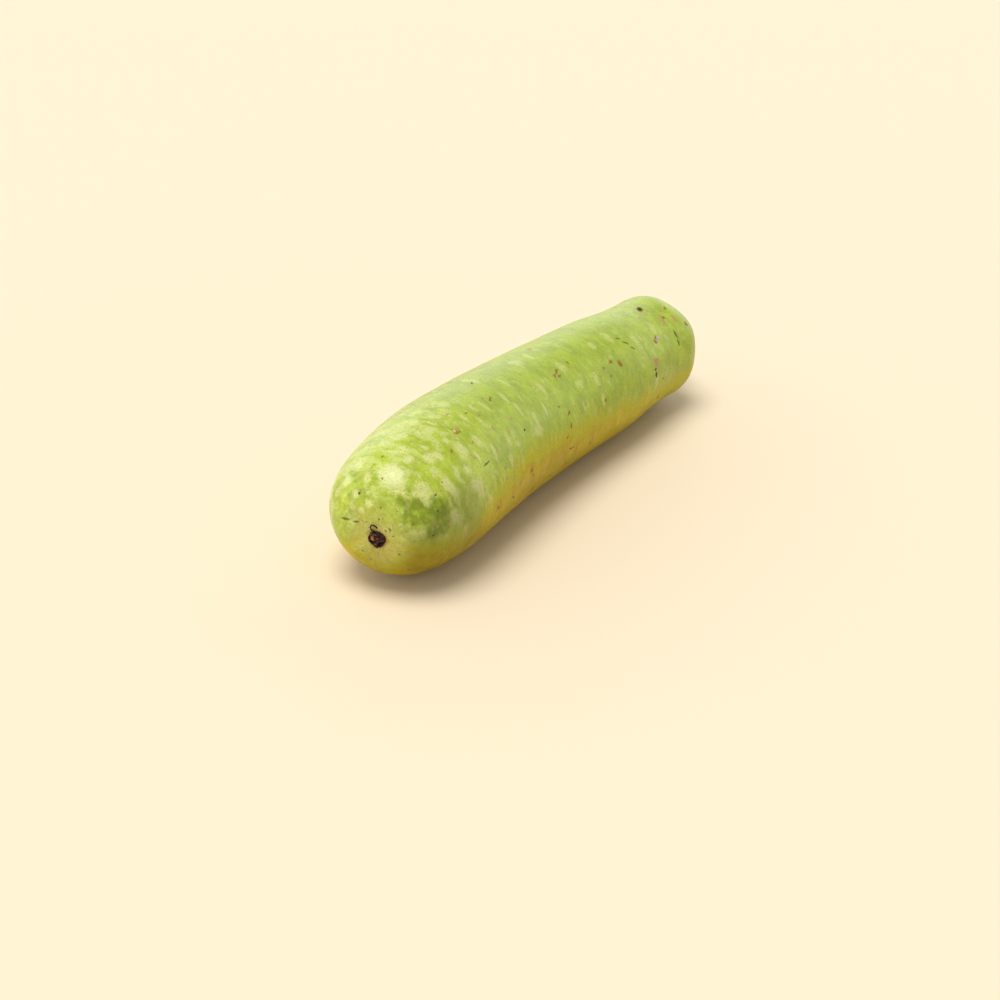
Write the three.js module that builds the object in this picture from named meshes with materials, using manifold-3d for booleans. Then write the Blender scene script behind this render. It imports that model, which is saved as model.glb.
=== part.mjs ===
// A long bottle gourd, as picked, lying on its side.
//
// Millimetres, +Z up. The fruit lies along X, with its blossom end towards -X and its stalk end towards +X,
// and rests on Z = 0. The origin is under the middle of the whole part. Three pieces make it up: the fruit,
// the stub of its cut stalk, and the dried remains of the flower at the blossom end.

import * as THREE from "three";
import { mergeVertices } from "three/addons/utils/BufferGeometryUtils.js";
import Module from "manifold-3d";

// ---- Driving dimensions -----------------------------------------------------------------------------------

// The fruit's axis runs from the blossom pole, share 0, to the stalk pole, share 1.
const FRUIT_LENGTH = 289.5;

// At even steps from pole to pole: the radius before the two ends are rounded off,
// how far the axis bows to +Y, and how high it runs.
const STATIONS = [
  { radius: 42, bow: 0, height: 30.9 },
  { radius: 37.3, bow: 4.2, height: 33.4 },
  { radius: 35.2, bow: 7.7, height: 35.1 },
  { radius: 33.8, bow: 9.1, height: 34.3 },
  { radius: 32.7, bow: 9, height: 32.8 },
  { radius: 31.6, bow: 7.3, height: 31.7 },
  { radius: 30.6, bow: 4.9, height: 30.7 },
  { radius: 27.6, bow: 2.5, height: 30.2 },
  { radius: 28.5, bow: 0, height: 29.9 },
];

// Each end is rounded over a length, as a superellipse of some fullness (2 is a plain ellipse).
const BLOSSOM_ROUND = { length: 91.5, fullness: 2.8 };
const STALK_ROUND = { length: 23.7, fullness: 2.1 };

// The blossom tip is drawn a little off the axis, to +Y and upwards.
const TIP_SKEW = { bow: 3.1, height: 3.3 };

// Five soft lobes on the shoulder round the stalk, which die out along the fruit.
const SHOULDER_LOBES = { count: 5, depth: 0.7, reach: 26 };

// Shallow basins that the stalk and the flower's remains sit in.
const STALK_BASIN = { depth: 1.4, width: 9 };
const BLOSSOM_BASIN = { depth: 0.8, width: 7 };

// The weight of the fruit presses its lowest skin flat, this deep.
const REST_FLAT_DEPTH = 0.4;

// The flower's scar lies off the blossom pole by this much, to -Y and downwards.
const SCAR_OFFSET = { bow: -3.3, height: -2.5 };
const SCAR_RADIUS = 4.3;
const SCAR_ROOT = 1.2;
// Height of the scar's crust above the skin, from its edge to its middle, at shares of its radius.
const SCAR_CRUST = [
  { share: 1, height: 0.15 },
  { share: 0.86, height: 0.85 },
  { share: 0.66, height: 0.7 },
  { share: 0.46, height: -0.1 },
  { share: 0.24, height: 0.05 },
];
const SCAR_MIDDLE_HEIGHT = 0.45;

// The flower's dried style hooks over above the scar. Across the skin, up it, and out from it.
const STYLE_RADIUS = 0.36;
const STYLE_PATH = [
  [-1.6, 3.2, -0.1],
  [-1.9, 4.4, 0.9],
  [-2.7, 5.9, 1.4],
  [-2.6, 7.3, 1.7],
  [-1.8, 8.3, 1.8],
  [-0.6, 7.9, 1.6],
  [0.6, 6.7, 1.2],
];

// The stalk stub: height above the skin against radius, from its root in the fruit to its cut end.
const STALK_PROFILE = [
  { height: -2, radius: 5.6 },
  { height: 0, radius: 6.3 },
  { height: 1.4, radius: 6.1 },
  { height: 2.8, radius: 5.2 },
  { height: 5, radius: 4.6 },
  { height: 8, radius: 4.4 },
  { height: 10.4, radius: 4.5 },
  { height: 11, radius: 4.1 },
];
const STALK_RIDGES = { count: 5, depth: 0.45 };
const STALK_LEAN = 0.06; // sideways drift per millimetre of height
const STALK_CUT_SLOPE = 0.12; // rise of the cut end across its width
const STALK_CUT_DISH = { share: 0.55, depth: 0.5 };

// Free space between a piece and the seat cut for it in the fruit.
const SEAT_GAP = 0.3;

// How finely the round forms are divided.
const FRUIT_RINGS = 46;
const FRUIT_SIDES = 48;
const SCAR_SIDES = 28;
const STALK_SIDES = 30;

// ---- Curves and meshes ------------------------------------------------------------------------------------

// A smooth curve through one size of the stations, read at a share from 0 to 1 (Catmull-Rom).
function along(size, share) {
  const last = STATIONS.length - 1;
  const at = (i) => {
    if (i < 0) return 2 * STATIONS[0][size] - STATIONS[1][size];
    if (i > last) return 2 * STATIONS[last][size] - STATIONS[last - 1][size];
    return STATIONS[i][size];
  };
  const place = THREE.MathUtils.clamp(share, 0, 1) * last;
  const i = Math.min(Math.floor(place), last - 1);
  const t = place - i;
  const [a, b, c, d] = [at(i - 1), at(i), at(i + 1), at(i + 2)];
  return b + 0.5 * t * (c - a + t * (2 * a - 5 * b + 4 * c - d + t * (3 * (b - c) + d - a)));
}

// Joins rings of points, all of one count, into a closed skin with a tip at each end.
// The rings turn anticlockwise as seen from the end tip.
function loft(startTip, rings, endTip) {
  const sides = rings[0].length;
  const points = [startTip, ...rings.flat(), endTip];
  const endIndex = points.length - 1;
  const faces = [];
  const corner = (ring, side) => 1 + ring * sides + (side % sides);
  for (let side = 0; side < sides; side++) {
    faces.push(0, corner(0, side + 1), corner(0, side));
    for (let ring = 0; ring < rings.length - 1; ring++) {
      const [a, b] = [corner(ring, side), corner(ring, side + 1)];
      const [c, d] = [corner(ring + 1, side), corner(ring + 1, side + 1)];
      faces.push(a, b, d, a, d, c);
    }
    faces.push(endIndex, corner(rings.length - 1, side), corner(rings.length - 1, side + 1));
  }
  return new THREE.BufferGeometry().setFromPoints(points).setIndex(faces);
}

// Points of a closed ring at even angles.
function ringOf(sides, pointAt) {
  return Array.from({ length: sides }, (_, side) => pointAt((2 * Math.PI * side) / sides));
}

// ---- The fruit --------------------------------------------------------------------------------------------

// 0 at a pole, growing to 1 where that end's rounding stops.
function rounding(fromPole, { length, fullness }) {
  const inward = THREE.MathUtils.clamp(fromPole / length, 0, 1);
  return Math.max(0, 1 - (1 - inward) ** fullness) ** (1 / fullness);
}

function fruitRadius(share) {
  const fromBlossom = share * FRUIT_LENGTH;
  const ends = rounding(fromBlossom, BLOSSOM_ROUND) * rounding(FRUIT_LENGTH - fromBlossom, STALK_ROUND);
  return along("radius", share) * ends;
}

function fruitAxis(share) {
  return new THREE.Vector3(share * FRUIT_LENGTH, along("bow", share), along("height", share));
}

// The direction forward along the axis, and the two directions across it.
function fruitFrame(share) {
  const step = 1e-3;
  const ahead = fruitAxis(Math.min(share + step, 1));
  const forward = ahead.sub(fruitAxis(Math.max(share - step, 0))).normalize();
  const up = new THREE.Vector3(0, 0, 1).addScaledVector(forward, -forward.z).normalize();
  return { forward, up, side: up.clone().cross(forward) };
}

// The middle of the section at a share, with the skewed tip.
function sectionMiddle(share) {
  const nearTip = Math.max(0, 1 - (share * FRUIT_LENGTH) / BLOSSOM_ROUND.length) ** 2;
  const skew = new THREE.Vector3(0, TIP_SKEW.bow, TIP_SKEW.height);
  return fruitAxis(share).addScaledVector(skew, nearTip);
}

// How deep a round basin is at a point.
function basinDepth(point, middle, { depth, width }) {
  return depth * Math.exp(-((point.distanceTo(middle) / width) ** 2));
}

const blossomPole = sectionMiddle(0);
const stalkPole = sectionMiddle(1);
const scarMiddle = blossomPole.clone().add(new THREE.Vector3(0, SCAR_OFFSET.bow, SCAR_OFFSET.height));

// A point of the skin. The angle is 0 at the section's side and a quarter turn at its top.
function skinPoint(share, angle) {
  const { forward, up, side } = fruitFrame(share);
  const fromStalk = (1 - share) * FRUIT_LENGTH;
  const lobed = SHOULDER_LOBES.depth * Math.exp(-((fromStalk / SHOULDER_LOBES.reach) ** 2));
  const ends = rounding(fromStalk, STALK_ROUND);
  const radius = fruitRadius(share) + lobed * ends * Math.cos(SHOULDER_LOBES.count * angle);
  const point = sectionMiddle(share)
    .addScaledVector(side, radius * Math.cos(angle))
    .addScaledVector(up, radius * Math.sin(angle));
  point.addScaledVector(forward, basinDepth(point, scarMiddle, BLOSSOM_BASIN));
  return point.addScaledVector(forward, -basinDepth(point, stalkPole, STALK_BASIN));
}

function fruitSkin() {
  const rings = [];
  for (let ring = 1; ring < FRUIT_RINGS; ring++) {
    const share = (1 - Math.cos((Math.PI * ring) / FRUIT_RINGS)) / 2; // closer together at the ends
    rings.push(ringOf(FRUIT_SIDES, (angle) => skinPoint(share, angle)));
  }
  return loft(skinPoint(0, 0), rings, skinPoint(1, 0));
}

// ---- The flower's remains, made flat: X across the skin, Y up it and Z out from it ------------------------

// The crust's ragged outline, as a share of its radius.
function raggedness(angle) {
  return 1 + 0.06 * Math.sin(3 * angle + 0.4) + 0.05 * Math.sin(7 * angle + 1.9);
}

function scarCrust(gap) {
  const ring = (share, height, wave) =>
    ringOf(SCAR_SIDES, (angle) => {
      const reach = SCAR_RADIUS * share * raggedness(angle) + gap;
      const lift = height + wave * Math.sin(5 * angle + 8 * share);
      return new THREE.Vector3(reach * Math.cos(angle), reach * Math.sin(angle), lift);
    });
  const rings = [ring(0.92, -SCAR_ROOT - gap, 0), ring(1, -0.4, 0)];
  for (const { share, height } of SCAR_CRUST) {
    rings.push(ring(share, height + gap, 0.12 * Math.sin(Math.PI * share)));
  }
  const bottom = new THREE.Vector3(0, 0, -SCAR_ROOT - gap);
  return loft(bottom, rings, new THREE.Vector3(0, 0, SCAR_MIDDLE_HEIGHT + gap));
}

function driedStyle() {
  const path = new THREE.CatmullRomCurve3(STYLE_PATH.map((point) => new THREE.Vector3(...point)));
  const section = new THREE.Shape().absarc(0, 0, STYLE_RADIUS, 0, 2 * Math.PI);
  return new THREE.ExtrudeGeometry(section, { steps: 14, extrudePath: path, curveSegments: 4 });
}

// ---- The stalk stub, made upright on its root -------------------------------------------------------------

function stalkStub(gap) {
  const root = STALK_PROFILE[0];
  const cut = STALK_PROFILE[STALK_PROFILE.length - 1];
  const ring = (height, radius) =>
    ringOf(STALK_SIDES, (angle) => {
      const ridged = height > 0 ? STALK_RIDGES.depth * Math.cos(STALK_RIDGES.count * angle) : 0;
      const reach = radius + ridged + gap;
      const raised = Math.max(height, 0) / cut.height;
      const x = reach * Math.cos(angle);
      const y = reach * Math.sin(angle);
      return new THREE.Vector3(x + STALK_LEAN * height, y, height + STALK_CUT_SLOPE * x * raised);
    });
  const rings = STALK_PROFILE.map(({ height, radius }) => ring(height, radius));
  rings[0] = ring(root.height - gap, root.radius);
  rings.push(ring(cut.height - STALK_CUT_DISH.depth / 2, cut.radius * STALK_CUT_DISH.share));
  const rootTip = new THREE.Vector3(STALK_LEAN * root.height, 0, root.height - gap);
  const dishMiddle = new THREE.Vector3(STALK_LEAN * cut.height, 0, cut.height - STALK_CUT_DISH.depth);
  return loft(rootTip, rings, dishMiddle);
}

// ---- Cutting and joining ----------------------------------------------------------------------------------

const wasm = await Module();
wasm.setup();

function toSolid(geometry) {
  const bare = geometry.clone();
  bare.deleteAttribute("normal");
  bare.deleteAttribute("uv");
  const merged = mergeVertices(bare, 1e-4);
  return new wasm.Manifold(
    new wasm.Mesh({
      numProp: 3,
      vertProperties: new Float32Array(merged.attributes.position.array),
      triVerts: new Uint32Array(merged.index.array),
    }),
  );
}

function toGeometry(solid) {
  const mesh = solid.getMesh();
  const geometry = new THREE.BufferGeometry();
  geometry.setAttribute("position", new THREE.BufferAttribute(mesh.vertProperties, 3));
  geometry.setIndex(new THREE.BufferAttribute(mesh.triVerts, 1));
  geometry.computeVertexNormals();
  return geometry;
}

// ---- The three pieces in their places ---------------------------------------------------------------------

// A small frame on the skin: Z out from the fruit, Y as near upwards as it can be.
function standingOut(outward) {
  const up = new THREE.Vector3(0, 0, 1).addScaledVector(outward, -outward.z).normalize();
  const across = up.clone().cross(outward);
  return new THREE.Quaternion().setFromRotationMatrix(new THREE.Matrix4().makeBasis(across, up, outward));
}

const skinMaterial = new THREE.MeshStandardMaterial({ color: 0x9dbb45, roughness: 0.38, metalness: 0 });
const crustMaterial = new THREE.MeshStandardMaterial({ color: 0x3f2415, roughness: 0.85, metalness: 0 });
const stalkMaterial = new THREE.MeshStandardMaterial({ color: 0x8a8a4e, roughness: 0.8, metalness: 0 });

const blossomOutward = new THREE.Vector3(-1, -0.13, -0.075).normalize();
const crustWithStyle = toSolid(scarCrust(0)).add(toSolid(driedStyle()));
const blossomRemains = new THREE.Mesh(toGeometry(crustWithStyle), crustMaterial);
blossomRemains.name = "blossom_remains";
blossomRemains.position.copy(scarMiddle).addScaledVector(blossomOutward, -BLOSSOM_BASIN.depth);
blossomRemains.quaternion.copy(standingOut(blossomOutward));

const stalk = new THREE.Mesh(stalkStub(0), stalkMaterial);
stalk.name = "cut_stalk";
const stalkOutward = fruitFrame(1).forward;
stalk.position.copy(stalkPole).addScaledVector(stalkOutward, -STALK_BASIN.depth);
stalk.quaternion.copy(standingOut(stalkOutward));

// The seat that a piece needs in the fruit: its own outline, larger all round by the gap.
function seatFor(piece, largerShape) {
  piece.updateMatrix();
  return toSolid(largerShape.applyMatrix4(piece.matrix));
}

const wholeSkin = fruitSkin();
wholeSkin.computeBoundingBox();
const floorHeight = wholeSkin.boundingBox.min.z + REST_FLAT_DEPTH;
const underfoot = new THREE.BoxGeometry(2 * FRUIT_LENGTH, FRUIT_LENGTH, 20);
underfoot.translate(FRUIT_LENGTH / 2, 0, floorHeight - 10);

const fruit = new THREE.Mesh(
  toGeometry(
    toSolid(wholeSkin)
      .subtract(toSolid(underfoot))
      .subtract(seatFor(blossomRemains, scarCrust(SEAT_GAP)))
      .subtract(seatFor(stalk, stalkStub(SEAT_GAP))),
  ),
  skinMaterial,
);
fruit.name = "fruit";

const gourd = new THREE.Group();
gourd.add(fruit, stalk, blossomRemains);

// The origin goes under the middle of the whole part, on the surface that it rests on.
const extent = new THREE.Box3().setFromObject(gourd, true);
const middle = extent.getCenter(new THREE.Vector3());
gourd.position.set(-middle.x, -middle.y, -floorHeight);

export default gourd;
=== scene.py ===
"""A whole bottle gourd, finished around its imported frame.

It is laid out as an add-on: the sizes and colours that a user would change are properties, each piece has an
operator, and a panel in the 3D view's sidebar lists them. Run as a script, it makes every piece once.

Lengths are in metres in the part's own frame: the gourd lies along X on Z = 0, its blossom end towards -X.
"""

import math
from collections import namedtuple
from functools import reduce

import bpy
import numpy as np
from bpy.props import FloatProperty, FloatVectorProperty, IntProperty, PointerProperty
from mathutils import Matrix, Quaternion, Vector, noise


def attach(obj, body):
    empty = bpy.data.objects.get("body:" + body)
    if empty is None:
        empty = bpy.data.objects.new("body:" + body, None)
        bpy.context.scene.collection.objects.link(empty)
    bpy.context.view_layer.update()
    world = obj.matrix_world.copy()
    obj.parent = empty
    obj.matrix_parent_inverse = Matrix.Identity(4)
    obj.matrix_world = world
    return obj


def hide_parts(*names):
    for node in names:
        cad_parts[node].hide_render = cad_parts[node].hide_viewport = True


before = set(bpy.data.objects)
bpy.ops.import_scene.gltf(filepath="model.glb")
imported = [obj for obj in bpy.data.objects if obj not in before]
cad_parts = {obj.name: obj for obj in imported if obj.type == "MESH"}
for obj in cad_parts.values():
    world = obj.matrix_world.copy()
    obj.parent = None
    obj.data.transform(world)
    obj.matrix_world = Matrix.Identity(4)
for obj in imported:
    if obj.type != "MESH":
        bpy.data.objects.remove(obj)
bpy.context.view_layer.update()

bl_info = {
    "name": "Bottle gourd",
    "version": (1, 0, 0),
    "blender": (4, 5, 0),
    "location": "3D View > Sidebar > Gourd",
    "description": "Makes a bottle gourd with its dried flower and cut stalk",
    "category": "Object",
}

MM = 0.001
BODY = "root"


# ---- Node trees written as expressions ---------------------------------------------------------------------


def arithmetic(operation, turned=False):
    """A method that combines a wire with another operand, in the other order where it is turned."""

    def method(self, other):
        """The node's output for a wire and another operand."""
        first, second = (other, self) if turned else (self, other)
        return self.graph.combine(operation, first, second)

    return method


class Wire:
    """A node's output. Arithmetic on it adds Math nodes, or Vector Math nodes for vectors."""

    def __init__(self, graph, socket):
        self.graph = graph
        self.socket = socket

    def sibling(self, name):
        """Another output of the same node."""
        return Wire(self.graph, self.socket.node.outputs[name])

    __add__ = arithmetic("ADD")
    __radd__ = arithmetic("ADD", turned=True)
    __sub__ = arithmetic("SUBTRACT")
    __rsub__ = arithmetic("SUBTRACT", turned=True)
    __mul__ = arithmetic("MULTIPLY")
    __rmul__ = arithmetic("MULTIPLY", turned=True)
    __truediv__ = arithmetic("DIVIDE")
    __rtruediv__ = arithmetic("DIVIDE", turned=True)
    __pow__ = arithmetic("POWER")

    def __neg__(self):
        """The wire's value with its sign changed."""
        return self * -1.0


def is_vector(value):
    """Whether an operand is a vector wire or a plain vector."""
    if isinstance(value, Wire):
        return value.socket.type == "VECTOR"
    return isinstance(value, (tuple, Vector))


class Graph:
    """A node tree that is built by expressions on wires."""

    def __init__(self, tree):
        self.tree = tree

    def add(self, kind, settings=None, sockets=None, output=0):
        """Adds a node: its settings first, then the values or wires of its inputs. Returns one output."""
        node = self.tree.nodes.new(kind)
        for name, value in (settings or {}).items():
            setattr(node, name, value)
        for key, value in (sockets or {}).items():
            if isinstance(value, Wire):
                self.tree.links.new(value.socket, node.inputs[key])
            else:
                node.inputs[key].default_value = value
        return Wire(self, node.outputs[output]) if node.outputs else node

    def combine(self, operation, first, second):
        """Arithmetic on two operands, at least one of them a wire."""
        vectors = [operand for operand in (first, second) if is_vector(operand)]
        if not vectors:
            return self.add("ShaderNodeMath", {"operation": operation}, {0: first, 1: second})
        if operation == "MULTIPLY" and len(vectors) == 1:
            factor = second if vectors[0] is first else first
            return self.add("ShaderNodeVectorMath", {"operation": "SCALE"}, {0: vectors[0], "Scale": factor})
        return self.add("ShaderNodeVectorMath", {"operation": operation}, {0: first, 1: second})

    def math(self, operation, *operands):
        """A Math node of any operation."""
        return self.add("ShaderNodeMath", {"operation": operation}, dict(enumerate(operands)))

    def vector_math(self, operation, *operands, output="Vector"):
        """A Vector Math node of any operation."""
        return self.add("ShaderNodeVectorMath", {"operation": operation}, dict(enumerate(operands)), output)

    def largest(self, *values):
        """The largest of several values."""
        return reduce(lambda first, second: self.math("MAXIMUM", first, second), values)

    def smallest(self, *values):
        """The smallest of several values."""
        return reduce(lambda first, second: self.math("MINIMUM", first, second), values)

    def root(self, value):
        """A square root."""
        return self.math("SQRT", value)

    def split(self, vector):
        """The X, Y and Z of a vector."""
        x = self.add("ShaderNodeSeparateXYZ", None, {0: vector})
        return x, x.sibling("Y"), x.sibling("Z")

    def join(self, x, y, z):
        """A vector of three values."""
        return self.add("ShaderNodeCombineXYZ", None, {0: x, 1: y, 2: z})

    def rise(self, value, start, end):
        """0 before start, 1 past end, and a smooth step between. It falls where start is above end."""
        sockets = {"Value": value, "From Min": start, "From Max": end}
        return self.add("ShaderNodeMapRange", {"interpolation_type": "SMOOTHSTEP"}, sockets)

    def mix(self, factor, first, second, blend="MIX"):
        """A colour between two, or the second blended over the first."""
        settings = {"data_type": "RGBA", "blend_type": blend}
        return self.add("ShaderNodeMix", settings, {0: factor, 6: first, 7: second}, 2)

    def noise(self, place, size, detail=2.0, roughness=0.5, output=0):
        """Smooth noise of that feature size in the units of place. Its value is about 0.5 on average."""
        sockets = {"Vector": place, "Scale": 1.0 / size, "Detail": detail, "Roughness": roughness}
        return self.add("ShaderNodeTexNoise", None, sockets, output)

    def cells(self, place, size):
        """The distance to the middle of the nearest of many scattered cells. Its Color is random for each."""
        return self.add("ShaderNodeTexVoronoi", None, {"Vector": place, "Scale": 1.0 / size}, "Distance")

    def stored(self, name, output="Fac"):
        """A value that the mesh holds at each vertex."""
        return self.add("ShaderNodeAttribute", {"attribute_name": name}, None, output)

    def object_place(self):
        """The place on the piece in millimetres."""
        return self.add("ShaderNodeTexCoord", None, None, "Object") * (1.0 / MM)


def empty_nodes(owner):
    """The graph of a material or a world that has no nodes yet."""
    owner.use_nodes = True
    owner.node_tree.nodes.clear()
    return Graph(owner.node_tree)


def new_material(name):
    """An empty node material and its graph."""
    material = bpy.data.materials.new(name)
    return material, empty_nodes(material)


def principled(graph, **sockets):
    """A Principled shader. Socket names are written with underscores."""
    named = {name.replace("_", " "): value for name, value in sockets.items()}
    return graph.add("ShaderNodeBsdfPrincipled", None, named)


def end_material(graph, shader):
    """Ends a material in a shader."""
    graph.add("ShaderNodeOutputMaterial", None, {"Surface": shader})


def bump(graph, height):
    """A normal bent by a height in metres."""
    return graph.add("ShaderNodeBump", None, {"Strength": 1.0, "Distance": 1.0, "Height": height})


# ---- Geometry node trees and finished pieces ---------------------------------------------------------------


def new_tree(name, inputs):
    """A geometry node tree with named inputs, given as name: socket type."""
    tree = bpy.data.node_groups.new(name, "GeometryNodeTree")
    tree.interface.new_socket("Geometry", in_out="INPUT", socket_type="NodeSocketGeometry")
    for label, kind in inputs.items():
        tree.interface.new_socket(label, in_out="INPUT", socket_type=kind)
    tree.interface.new_socket("Geometry", in_out="OUTPUT", socket_type="NodeSocketGeometry")
    graph = Graph(tree)
    entry = graph.add("NodeGroupInput")
    return tree, graph, {label: entry.sibling(label) for label in ("Geometry", *inputs)}


def end_tree(graph, geometry, material):
    """Ends a tree in plain, smooth-shaded geometry with one material."""
    real = graph.add("GeometryNodeRealizeInstances", None, {"Geometry": geometry})
    smooth = graph.add("GeometryNodeSetShadeSmooth", None, {"Geometry": real})
    finished = graph.add("GeometryNodeSetMaterial", None, {"Geometry": smooth, "Material": material})
    graph.add("NodeGroupOutput", None, {"Geometry": finished})


def new_object(name, data):
    """An object that is linked to the scene."""
    made = bpy.data.objects.new(name, data)
    bpy.context.scene.collection.objects.link(made)
    return made


def run_tree(name, start_mesh, tree, values):
    """Runs a tree on a mesh and returns a plain mesh object of the result."""
    piece = new_object(name, start_mesh)
    modifier = piece.modifiers.new(tree.name, "NODES")
    modifier.node_group = tree
    for item in tree.interface.items_tree:
        if item.in_out == "INPUT" and item.name in values:
            modifier[item.identifier] = values[item.name]
    bpy.context.view_layer.update()
    evaluated = piece.evaluated_get(bpy.context.evaluated_depsgraph_get())
    mesh = bpy.data.meshes.new_from_object(evaluated)
    mesh.name = name
    piece.modifiers.remove(modifier)
    piece.data = mesh
    bpy.data.meshes.remove(start_mesh)
    return piece


def finish_piece(piece, slot, *replaced):
    """Gives a piece its body and hides the frame parts that it stands for. The slot is not used."""
    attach(piece, BODY)
    if replaced:
        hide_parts(*replaced)


def vertex_data(mesh):
    """The vertices' places and normals as arrays."""
    places = np.empty(len(mesh.vertices) * 3)
    normals = np.empty(len(mesh.vertices) * 3)
    mesh.vertices.foreach_get("co", places)
    mesh.vertex_normals.foreach_get("vector", normals)
    return places.reshape(-1, 3), normals.reshape(-1, 3)


# ---- Properties --------------------------------------------------------------------------------------------

# At even steps from the blossom pole to the stalk pole, in millimetres: the radius before the two ends are
# rounded off, how far the axis bows to +Y, and how high it runs.
STATIONS = (
    (42.0, 0.0, 30.9),
    (37.3, 4.2, 33.4),
    (35.2, 7.7, 35.1),
    (33.8, 9.1, 34.3),
    (32.7, 9.0, 32.8),
    (31.6, 7.3, 31.7),
    (30.6, 4.9, 30.7),
    (27.6, 2.5, 30.2),
    (28.5, 0.0, 29.9),
)


def length_property(name, description, millimetres):
    """A length that can be changed in the panel."""
    return FloatProperty(name=name, description=description, default=millimetres * MM, unit="LENGTH")


def station_property(name, description, column):
    """One length for each station."""
    sizes = [station[column] * MM for station in STATIONS]
    return FloatVectorProperty(
        name=name, description=description, size=len(STATIONS), default=sizes, unit="LENGTH"
    )


def shift_property(name, description, *millimetres):
    """A shift along X, Y and Z."""
    shift = [value * MM for value in millimetres]
    return FloatVectorProperty(name=name, description=description, default=shift, subtype="TRANSLATION")


def fullness_property(name, default):
    """How full the rounding of an end is."""
    return FloatProperty(
        name=name, description="Exponent of the rounding, where 2 is a plain ellipse", default=default
    )


def colour_property(name, description, red, green, blue):
    """A colour that can be changed in the panel."""
    default = (red, green, blue, 1)
    return FloatVectorProperty(
        name=name, description=description, subtype="COLOR", size=4, min=0, max=1, default=default
    )


class GourdShape(bpy.types.PropertyGroup):
    """The form of the fruit and the fineness of its mesh."""

    length: length_property("Length", "From the blossom pole to the stalk pole", 289.5)
    radii: station_property("Radii", "Radius at nine even steps, before the ends are rounded off", 0)
    bows: station_property("Bow", "How far the axis bows to +Y at the same steps", 1)
    heights: station_property("Height", "How high the axis runs at the same steps", 2)
    blossom_round: length_property("Blossom rounding", "Length over which the blossom end rounds off", 91.5)
    blossom_fullness: fullness_property("Blossom fullness", 2.8)
    stalk_round: length_property("Stalk rounding", "Length over which the stalk end rounds off", 23.7)
    stalk_fullness: fullness_property("Stalk fullness", 2.1)
    tip_skew: shift_property("Tip skew", "How far the blossom tip is drawn off the axis", 0, 3.1, 3.3)
    lobe_depth: length_property("Lobe depth", "Height of the five soft lobes on the stalk shoulder", 0.7)
    lobe_reach: length_property("Lobe reach", "How far the lobes run along the fruit", 26)
    scar_offset: shift_property("Scar offset", "From the blossom pole to the flower scar", 0, -3.3, -2.5)
    lump_height: length_property("Lump height", "Height of the soft unevenness of the skin", 0.35)
    foot: shift_property(
        "Foot", "Ground under the blossom pole, high enough to press the skin", -148.885, -7.332, -0.333
    )
    skin_rings: IntProperty(name="Skin rings", description="Rings of the skin from pole to pole", default=480)
    skin_sides: IntProperty(name="Skin sides", description="Faces round the skin", default=192)


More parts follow.
